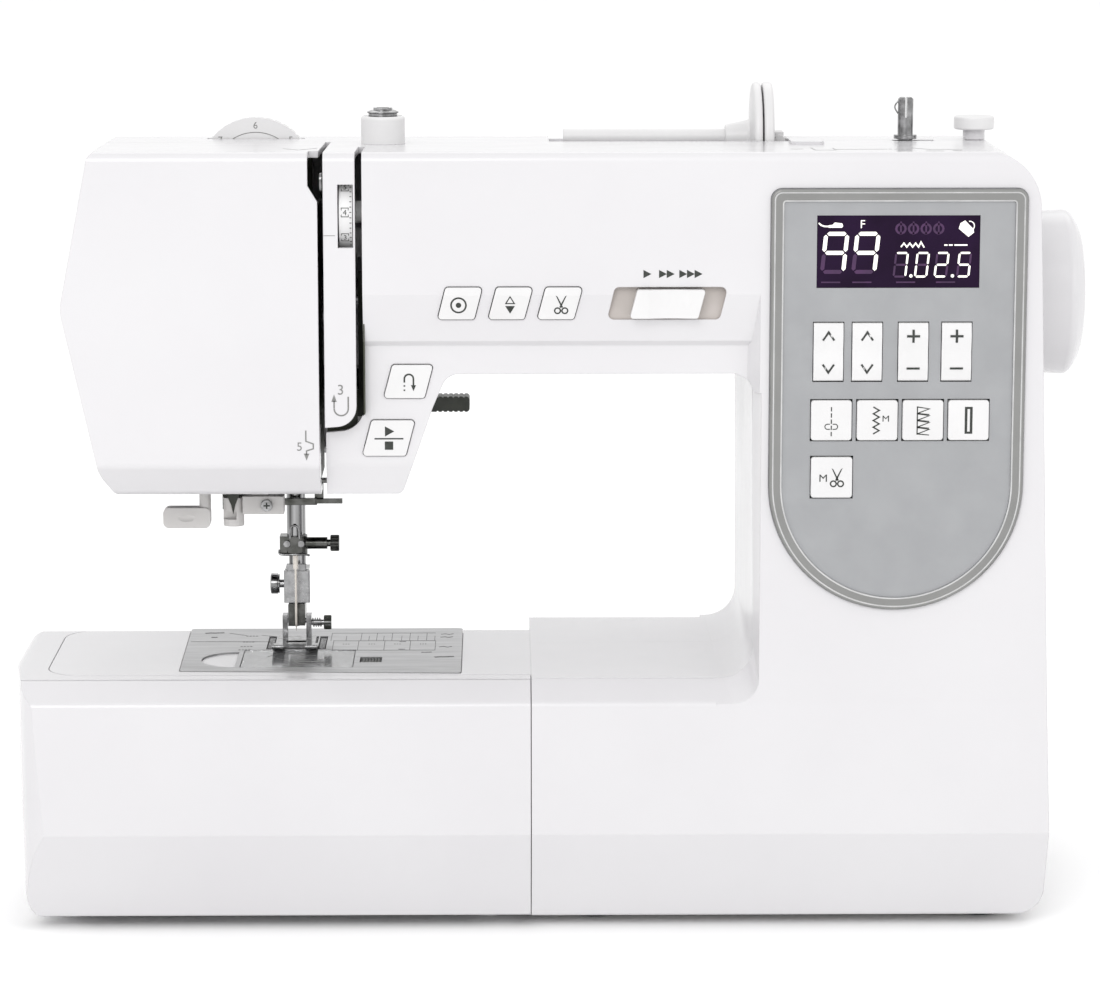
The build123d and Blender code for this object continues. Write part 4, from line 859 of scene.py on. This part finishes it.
FOREMOST = 4              # number that faces the operator
marks = Ink(dial_rim)
step = math.pi * 2 * DIAL_R / 10
for number in range(10):
    up = 1.3 + (number - FOREMOST) * step
    marks.glyph(str(number), (-75.4, up), 2.0)
    marks.line([(-76.7, up - 1.6), (-74.1, up - 1.6), (-74.1, up + 1.6), (-76.7, up + 1.6)], 0.26, True)
    for i in range(5):
        tick = up + (i - 2) * step / 5
        marks.line([(-73.7, tick), (-73.0, tick)], 0.3)
marks.make("tension_numbers", "tension_dial", PRINT_AND_SHADE, "key_white")

wheel_low, wheel_high = box_mm("pressure_dial")
wheel_x = (wheel_low.x + wheel_high.x) / 2
wheel_z = (wheel_low.z + wheel_high.z) / 2
marks = Ink(front_face(24.0))
UPPERMOST = 6             # number that stands above the cover
reach = 19.3
for number in range(1, 9):
    angle = math.radians(90 + (number - UPPERMOST) * 45)
    marks.glyph(str(number), (wheel_x + reach * math.cos(angle), wheel_z + reach * math.sin(angle)), 2.6)
marks.arc((wheel_x, wheel_z), 16.6, 0, 360, 0.3, 60)
marks.make("pressure_numbers", "pressure_dial", PRINT_GREY, "key_white")


# ---------------------------------------------------------------- top cover marks
def top_face(u, v, out):
    """Top cover, it falls slightly to the rear."""
    return (u, v, 293.6 - (v + 74.0) * 3.6 / 124.0 + out)


WINDING_DIAGRAM = [       # width of each printed line and its points
    (0.5, [(88.5, -52.0), (90.5, -53.0), (93.0, -52.0)]),
    (0.35, [(96.5, -44.0), (97.0, -60.0), (104.5, -60.0), (104.5, -47.0)]),
    (0.3, [(104.5, -56.0), (124.0, -54.0)]),
    (0.35, [(134.0, -46.0), (140.0, -58.0), (146.0, -56.0), (151.0, -60.0)]),
    (0.7, [(137.0, -66.0), (143.5, -66.0)]),
    (0.35, [(147.0, -64.0), (150.0, -65.5)]),
    (0.35, [(-99.0, -46.0), (-93.0, -56.0), (-86.5, -44.0)]),
]
marks = Ink(top_face)
for width, points in WINDING_DIAGRAM:
    marks.line(points, width)
for i in range(4):
    marks.line([(124.5 + 2.2 * i, -54.0), (125.7 + 2.2 * i, -54.0)], 0.7)
marks.make("winding_marks", "root", PRINT_GREY, "cover_white")

bm = bmesh.new()
block(bm, 91.0, 103.4, -22.0, -6.0, 291.0, 293.2, 1.5)
add_piece("pin_socket_cap", bm, "root", WHITE)


# ---------------------------------------------------------------- needle plate
PLATE = level_face(box_mm("needle_plate")[1].z)
SCALE_BACK, SCALE_MIDDLE, SCALE_FRONT = 16.6, 2.2, -15.4      # lines across the seam scale
marks = Ink(PLATE)
for v, start, end in ((SCALE_BACK, -85.5, -44.6), (SCALE_MIDDLE, -84.5, -44.6), (SCALE_FRONT, -84.0, -44.4)):
    marks.line([(start, v), (end, v)], 0.22)
ticks = [-85.4, -79.5, -73.7, -70.6, -67.6, -64.8, -61.6, -57.8, -54.6, -51.4, -48.0, -44.8]
for i, u in enumerate(ticks):
    marks.line([(u, SCALE_MIDDLE), (u, SCALE_BACK if i % 2 == 0 else 11.0)], 0.22)
for u in (-84.2, -74.4, -64.2, -54.2, -44.4):
    marks.line([(u, SCALE_FRONT), (u, SCALE_MIDDLE)], 0.24)
for u in (-79.4, -69.4, -59.4, -49.4):
    for i in range(3):
        marks.line([(u - 1.0 + i, -4.0), (u - 0.6 + i, -4.0)], 0.9)
marks.line([(-58.6, 0.4), (-56.0, 0.4)], 0.8)
marks.line([(-58.6, -13.6), (-56.0, -13.6)], 0.8)
marks.line([(-140.0, 1.2), (-108.5, 1.0)], 0.22)
NUMBER_ROWS = [(11.4, -119.0, -114.0), (0.4, -119.6, -114.8), (-8.0, -120.0, -115.0), (-14.0, -120.4, -115.4)]
for v, start, end in NUMBER_ROWS:
    for i in range(4):
        u = start + (end - start) * i / 4
        marks.line([(u, v), (u + 0.8, v)], 0.9)
marks.line([(-126.0, 17.0), (-119.0, 12.6)], 0.25)
marks.line([(-113.0, 13.0), (-107.0, 10.0)], 0.25)
marks.make("plate_scale", "root", ENGRAVED, "plate_steel")

marks = Ink(PLATE)
for u, v, tilt in ((-131.8, 17.4, 0.6), (-40.6, -27.6, 0.6)):
    path = [(u - 3.7, v - tilt), (u - 1.8, v + 0.2), (u, v), (u + 1.8, v + 0.3), (u + 3.7, v + tilt)]
    marks.line(path, 1.5)
marks.line([(-132.6, 9.4), (-130.2, 9.4)], 1.3)
marks.line([(-49.6, -19.4), (-45.6, -19.0)], 0.9)
for u, v in ((-42.4, 14.0), (-42.6, 8.4), (-42.8, -9.6)):
    marks.line([(u, v), (u + 1.6, v + 0.9), (u + 3.2, v - 0.4), (u + 4.8, v + 1.0)], 0.5)
marks.make("plate_marks", "root", ENGRAVED, "plate_steel")

INSET_X, INSET_Y, INSET_R = -119.9, -31.5, 13.3
half_round = []
for i in range(25):
    angle = math.radians(90 + 180 * i / 24)
    half_round.append((INSET_X + INSET_R * math.cos(angle), INSET_Y + INSET_R * math.sin(angle)))
bm = bmesh.new()
prism(bm, [(u, v, 93.6) for u, v in half_round], [(u, v, 95.7) for u, v in half_round])
add_piece("plate_inset", bm, "root", WHITE)

bm = bmesh.new()
block(bm, -72.5, -64.7, -36.5, -27.7, 92.0, 95.3, 0.4)
for i in range(6):
    x = -71.6 + 1.15 * i
    block(bm, x, x + 0.55, -36.0, -28.2, 95.3, 96.0)
add_piece("cover_release", bm, "root", BLACK, smooth=False)

marks = Ink(level_face(box_mm("bobbin_cover")[1].z))
marks.arc((-101.0, -28.0), 7.5, 10, 170, 0.3, 24)
marks.arc((-101.0, -28.0), 4.0, 190, 350, 0.3, 18)
marks.line([(-96.0, -31.0), (-86.0, -31.0), (-84.5, -24.0)], 0.35)
marks.line([(-98.5, -24.5), (-90.0, -24.5)], 0.5)
marks.line([(-97.5, -35.0), (-86.5, -35.0)], 1.2)
marks.line([(-97.0, -38.5), (-84.0, -38.5)], 0.4)
marks.make("bobbin_cover_marks", "bobbin_cover", PRINT_GREY, "clear_plastic")

NEEDLE_X, NEEDLE_Y = -98.3, -8.0          # axis of the needle bar
BOBBIN_Y = -27.5                          # the bobbin is in line with the needle
thread_profile = [(4.7, 78.8), (8.2, 78.8), (8.6, 80.5), (8.6, 86.6), (8.2, 88.2), (4.7, 88.2)]
bm = bmesh.new()
lathe(bm, thread_profile, (NEEDLE_X, BOBBIN_Y, 0.0), "Z", 48)
THREAD = surface(
    "bobbin_thread", (0.60, 0.60, 0.62), (0.80, 0.80, 0.82), 0.0006, (0.6, 0.8),
    0.0003, 0.00015, 0.0, (30.0, 30.0, 1.0), Sheen_Weight=0.3,
)
add_piece("bobbin_thread", bm, "bobbin", THREAD)


# ---------------------------------------------------------------- needle area
def knurl(bm, centre, radius, start, end, ridges):
    """Ridges round a thumb screw along X, centre is its y and z."""
    ridge = [(0.32, start), (0.42, start + 0.3), (0.42, end - 0.3), (0.32, end)]
    for i in range(ridges):
        angle = 2 * math.pi * i / ridges
        y = centre[0] + radius * math.cos(angle)
        z = centre[1] + radius * math.sin(angle)
        lathe(bm, ridge, (0, y, z), "X", 6)


CLAMP_Z = 137.2                           # axis of the needle clamp's screw
clamp_end = box_mm("needle_clamp")[1].x
bm = bmesh.new()
knurl(bm, (NEEDLE_Y, CLAMP_Z), 2.8, clamp_end - 3.3, clamp_end - 0.1, 16)
add_piece("clamp_screw_knurl", bm, "needle_bar", DARK_CHROME)

bm = bmesh.new()
screw_head = [(0.5, 0.72), (1.0, 0.7), (1.35, 0.45), (1.35, -0.3)]
for dx in (-3.0, 2.4):
    lathe(bm, screw_head, (NEEDLE_X + dx, NEEDLE_Y - 4.2, CLAMP_Z + 0.4), "Y", 20)
add_piece("clamp_screws", bm, "needle_bar", CHROME)

loop = [(-1.8, 2.4), (-1.8, 5.4), (-1.3, 7.2), (0.0, 7.7), (1.3, 7.2), (1.8, 5.4), (1.8, 2.4)]
guide = [(-5.9, -3.6, -2.0), (-6.3, -4.2, -3.4), (-4.7, -4.6, -3.8), (0.0, -4.8, -3.7),
         (4.7, -4.4, -3.6), (5.5, -3.8, -4.2)]
bm = bmesh.new()
wire(bm, [(NEEDLE_X + dx, NEEDLE_Y - 4.3, CLAMP_Z + dz) for dx, dz in loop], 0.4)
wire(bm, [(NEEDLE_X + dx, NEEDLE_Y + dy, CLAMP_Z + dz) for dx, dy, dz in guide], 0.42)
add_piece("needle_thread_guide", bm, "needle_bar", CHROME)

HOLDER_SCREW = (6.5, 118.4)               # y and z of the foot holder's screw
holder_left = box_mm("foot_holder")[0].x
screw_head = [(3.2, 0.0), (4.05, 0.35), (4.05, 2.9), (3.5, 3.3), (1.6, 3.35)]
bm = bmesh.new()
lathe(bm, screw_head, (holder_left - 0.2, *HOLDER_SCREW), "X", 28)
add_piece("holder_screw_head", bm, "presser_bar", CHROME)
bm = bmesh.new()
block(bm, NEEDLE_X - 5.0, NEEDLE_X + 5.0, -1.0, 1.2, 112.2, 124.8, 0.4)
block(bm, NEEDLE_X - 3.9, NEEDLE_X + 3.7, -0.6, 1.2, 124.8, 127.4, 0.4)
block(bm, NEEDLE_X - 3.5, NEEDLE_X + 0.9, -1.6, -0.9, 103.0, 111.6)
add_piece("foot_holder_front", bm, "presser_bar", MACHINED, smooth=False)

FOOT_SCREW = (-0.8, 104.4)                # y and z of the foot's side screw
foot_right = box_mm("presser_foot")[1].x
bm = bmesh.new()
knurl(bm, FOOT_SCREW, 2.4, foot_right - 2.9, foot_right - 0.1, 14)
add_piece("foot_screw_knurl", bm, "presser_foot", BLACK)
bm = bmesh.new()
COIL_R, COIL_LENGTH, COIL_TURNS = 1.75, 3.6, 4
coil = []
for i in range(8 * COIL_TURNS + 1):
    angle = i * math.pi / 4
    x = NEEDLE_X + 5.9 + COIL_LENGTH * i / (8 * COIL_TURNS)
    coil.append((x, FOOT_SCREW[0] + COIL_R * math.cos(angle), FOOT_SCREW[1] + COIL_R * math.sin(angle)))
wire(bm, coil, 0.24, 4)
add_piece("foot_spring", bm, "presser_foot", CHROME)

bm = bmesh.new()
block(bm, -124.6, -115.8, -29.4, -28.4, 154.4, 162.6)
blade = [(-122.6, 161.2), (-117.6, 161.2), (-119.3, 157.2), (-120.1, 153.6), (-120.9, 157.2)]
prism(bm, [(u, -36.4, v) for u, v in blade], [(u, -35.6, v) for u, v in blade])
add_piece("cutter_blade", bm, "root", BLACK, smooth=False)

SCREW_X, SCREW_Z = -107.4, 157.0          # bracket screw
# Painted shade: the dark cross stands in for the shade in the screw head's cross recess.
marks = Ink(front_face(-37.25))
marks.line([(SCREW_X - 1.2, SCREW_Z), (SCREW_X + 1.2, SCREW_Z)], 0.55)
marks.line([(SCREW_X, SCREW_Z - 1.2), (SCREW_X, SCREW_Z - 0.3)], 0.55)
marks.line([(SCREW_X, SCREW_Z + 0.3), (SCREW_X, SCREW_Z + 1.2)], 0.55)
marks.make("bracket_screw_cross_shade", "root", PRINT_AND_SHADE, "lever_grey")
paint("thread_guide_bracket", CHROME, lambda x, y, z: y < -36.05 and abs(x - SCREW_X - 0.1) < 2.6)
paint("needle_bar_frame", DARK_CHROME, lambda x, y, z: z < 166.0)
paint("foot_holder", DARK_CHROME, lambda x, y, z: z < 111.9)

bm = bmesh.new()
block(bm, NEEDLE_X - 6.3, NEEDLE_X + 8.9, -15.4, -13.2, 153.4, 155.9, 0.6)
block(bm, NEEDLE_X + 8.1, NEEDLE_X + 18.6, -15.0, -12.6, 153.9, 155.6)
block(bm, NEEDLE_X + 7.9, NEEDLE_X + 11.3, -13.2, -10.6, 153.9, 162.2)
add_piece("needle_bar_guide", bm, "needle_bar_frame", DARK_CHROME, smooth=False)


# ---------------------------------------------------------------- top fittings
paint("winder_thread_guide", CHROME, lambda x, y, z: z > 302.39)
paint("winder_stopper", WHITE, lambda x, y, z: z < 295.1)
spindle_low, spindle_high = box_mm("winder_spindle")
spindle_x = (spindle_low.x + spindle_high.x) / 2
spindle_y = (spindle_low.y + spindle_high.y) / 2
bm = bmesh.new()
wire(bm, [
    (spindle_x - 0.4, spindle_y, spindle_high.z - 0.6),
    (spindle_x - 2.4, spindle_y, spindle_high.z - 0.9),
    (spindle_x - 4.3, spindle_y, spindle_high.z - 3.2),
    (spindle_x - 3.9, spindle_y, spindle_high.z - 5.0),
    (spindle_x - 2.4, spindle_y, spindle_high.z - 6.8),
], 0.28)
add_piece("winder_spring", bm, "winder_spindle", CHROME)

PRETENSION = (-63.1, -12.0, 0.0)          # axis of the winding thread guide
disc_profiles = [
    [(4.0, 303.35), (5.9, 303.5), (6.0, 303.9), (4.6, 304.5), (2.0, 304.7)],
    [(5.0, 302.3), (5.5, 302.45), (5.5, 302.75), (5.0, 302.9)],
]
bm = bmesh.new()
for profile in disc_profiles:
    lathe(bm, profile, PRETENSION, "Z", 40)
add_piece("pretension_disc", bm, "root", CHROME)
# Painted shade: a dark line stands in for the shade in the slot on top of the winding thread guide.
marks = Ink(level_face(305.4))
marks.line([(-65.4, -12.0), (-60.8, -12.0)], 0.9)
marks.make("pretension_slot_shade", "root", PRINT_AND_SHADE, "key_white")


# ---------------------------------------------------------------- hand wheel
bm = bmesh.new()
hub = (box_mm("handwheel")[1].x, 13.0, 232.0)
lathe(bm, [(3.0, -0.9), (3.0, -0.2), (2.4, 0.0)], hub, "X", 24)
add_piece("handwheel_screw", bm, "main_shaft", MACHINED)


# ---------------------------------------------------------------- studio
def add_floor():
    """Pale floor that runs far behind the machine."""
    bm = bmesh.new()
    half, cells = 14.0, 8
    rows = []
    for i in range(cells + 1):
        row = []
        for j in range(cells + 1):
            x = -half + 2 * half * i / cells
            y = -half + 2 * half * j / cells
            row.append(bm.verts.new((x, y, 0.0)))
        rows.append(row)
    for i in range(cells):
        for j in range(cells):
            bm.faces.new((rows[i][j], rows[i + 1][j], rows[i + 1][j + 1], rows[i][j + 1]))
    mesh = bpy.data.meshes.new("floor")
    bm.to_mesh(mesh)
    bm.free()
    mesh.materials.append(surface(
        "floor_paper", (0.955, 0.955, 0.955), (0.975, 0.975, 0.975), 0.3, (0.7, 0.8), 0.002, 0.00002,
    ))
    floor = bpy.data.objects.new("floor", mesh)
    bpy.context.scene.collection.objects.link(floor)
    floor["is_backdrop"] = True


def add_light(name, place, aim, size, power):
    """Soft square light that looks at a point."""
    light = bpy.data.lights.new(name, "AREA")
    light.shape = "RECTANGLE"
    light.size, light.size_y = size
    light.energy = power
    lamp_object = bpy.data.objects.new(name, light)
    lamp_object.location = place
    lamp_object.rotation_euler = (Vector(aim) - Vector(place)).to_track_quat("-Z", "Y").to_euler()
    bpy.context.scene.collection.objects.link(lamp_object)


add_floor()
add_light("key_light", (-0.6, -2.2, 1.5), (0.0, 0.0, 0.15), (1.2, 1.2), 20.0)
add_light("fill_light", (1.5, -1.5, 1.0), (0.0, 0.0, 0.15), (1.4, 1.2), 3.0)
add_light("rim_light", (0.2, 1.4, 1.5), (0.0, 0.0, 0.2), (1.6, 1.0), 3.0)

world = bpy.data.worlds.new("studio")
world.use_nodes = True
background = world.node_tree.nodes["Background"]
background.inputs["Color"].default_value = (1.0, 1.0, 1.0, 1.0)
background.inputs["Strength"].default_value = 1.06
scene = bpy.context.scene
scene.world = world
scene.view_settings.view_transform = "Standard"

CAMERA_PITCH, CAMERA_YAW = 9.986, 0.732    # degrees down and to the right
camera_data = bpy.data.cameras.new("camera")
camera_data.sensor_width = 36.0
camera_data.lens = 126.11
camera_data.clip_end = 100.0
camera = bpy.data.objects.new("camera", camera_data)
camera.location = (-0.01853, -1.474, 0.412)
camera.rotation_euler = (math.radians(90.0 - CAMERA_PITCH), 0.0, math.radians(-CAMERA_YAW))
scene.collection.objects.link(camera)
scene.camera = camera


low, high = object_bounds()
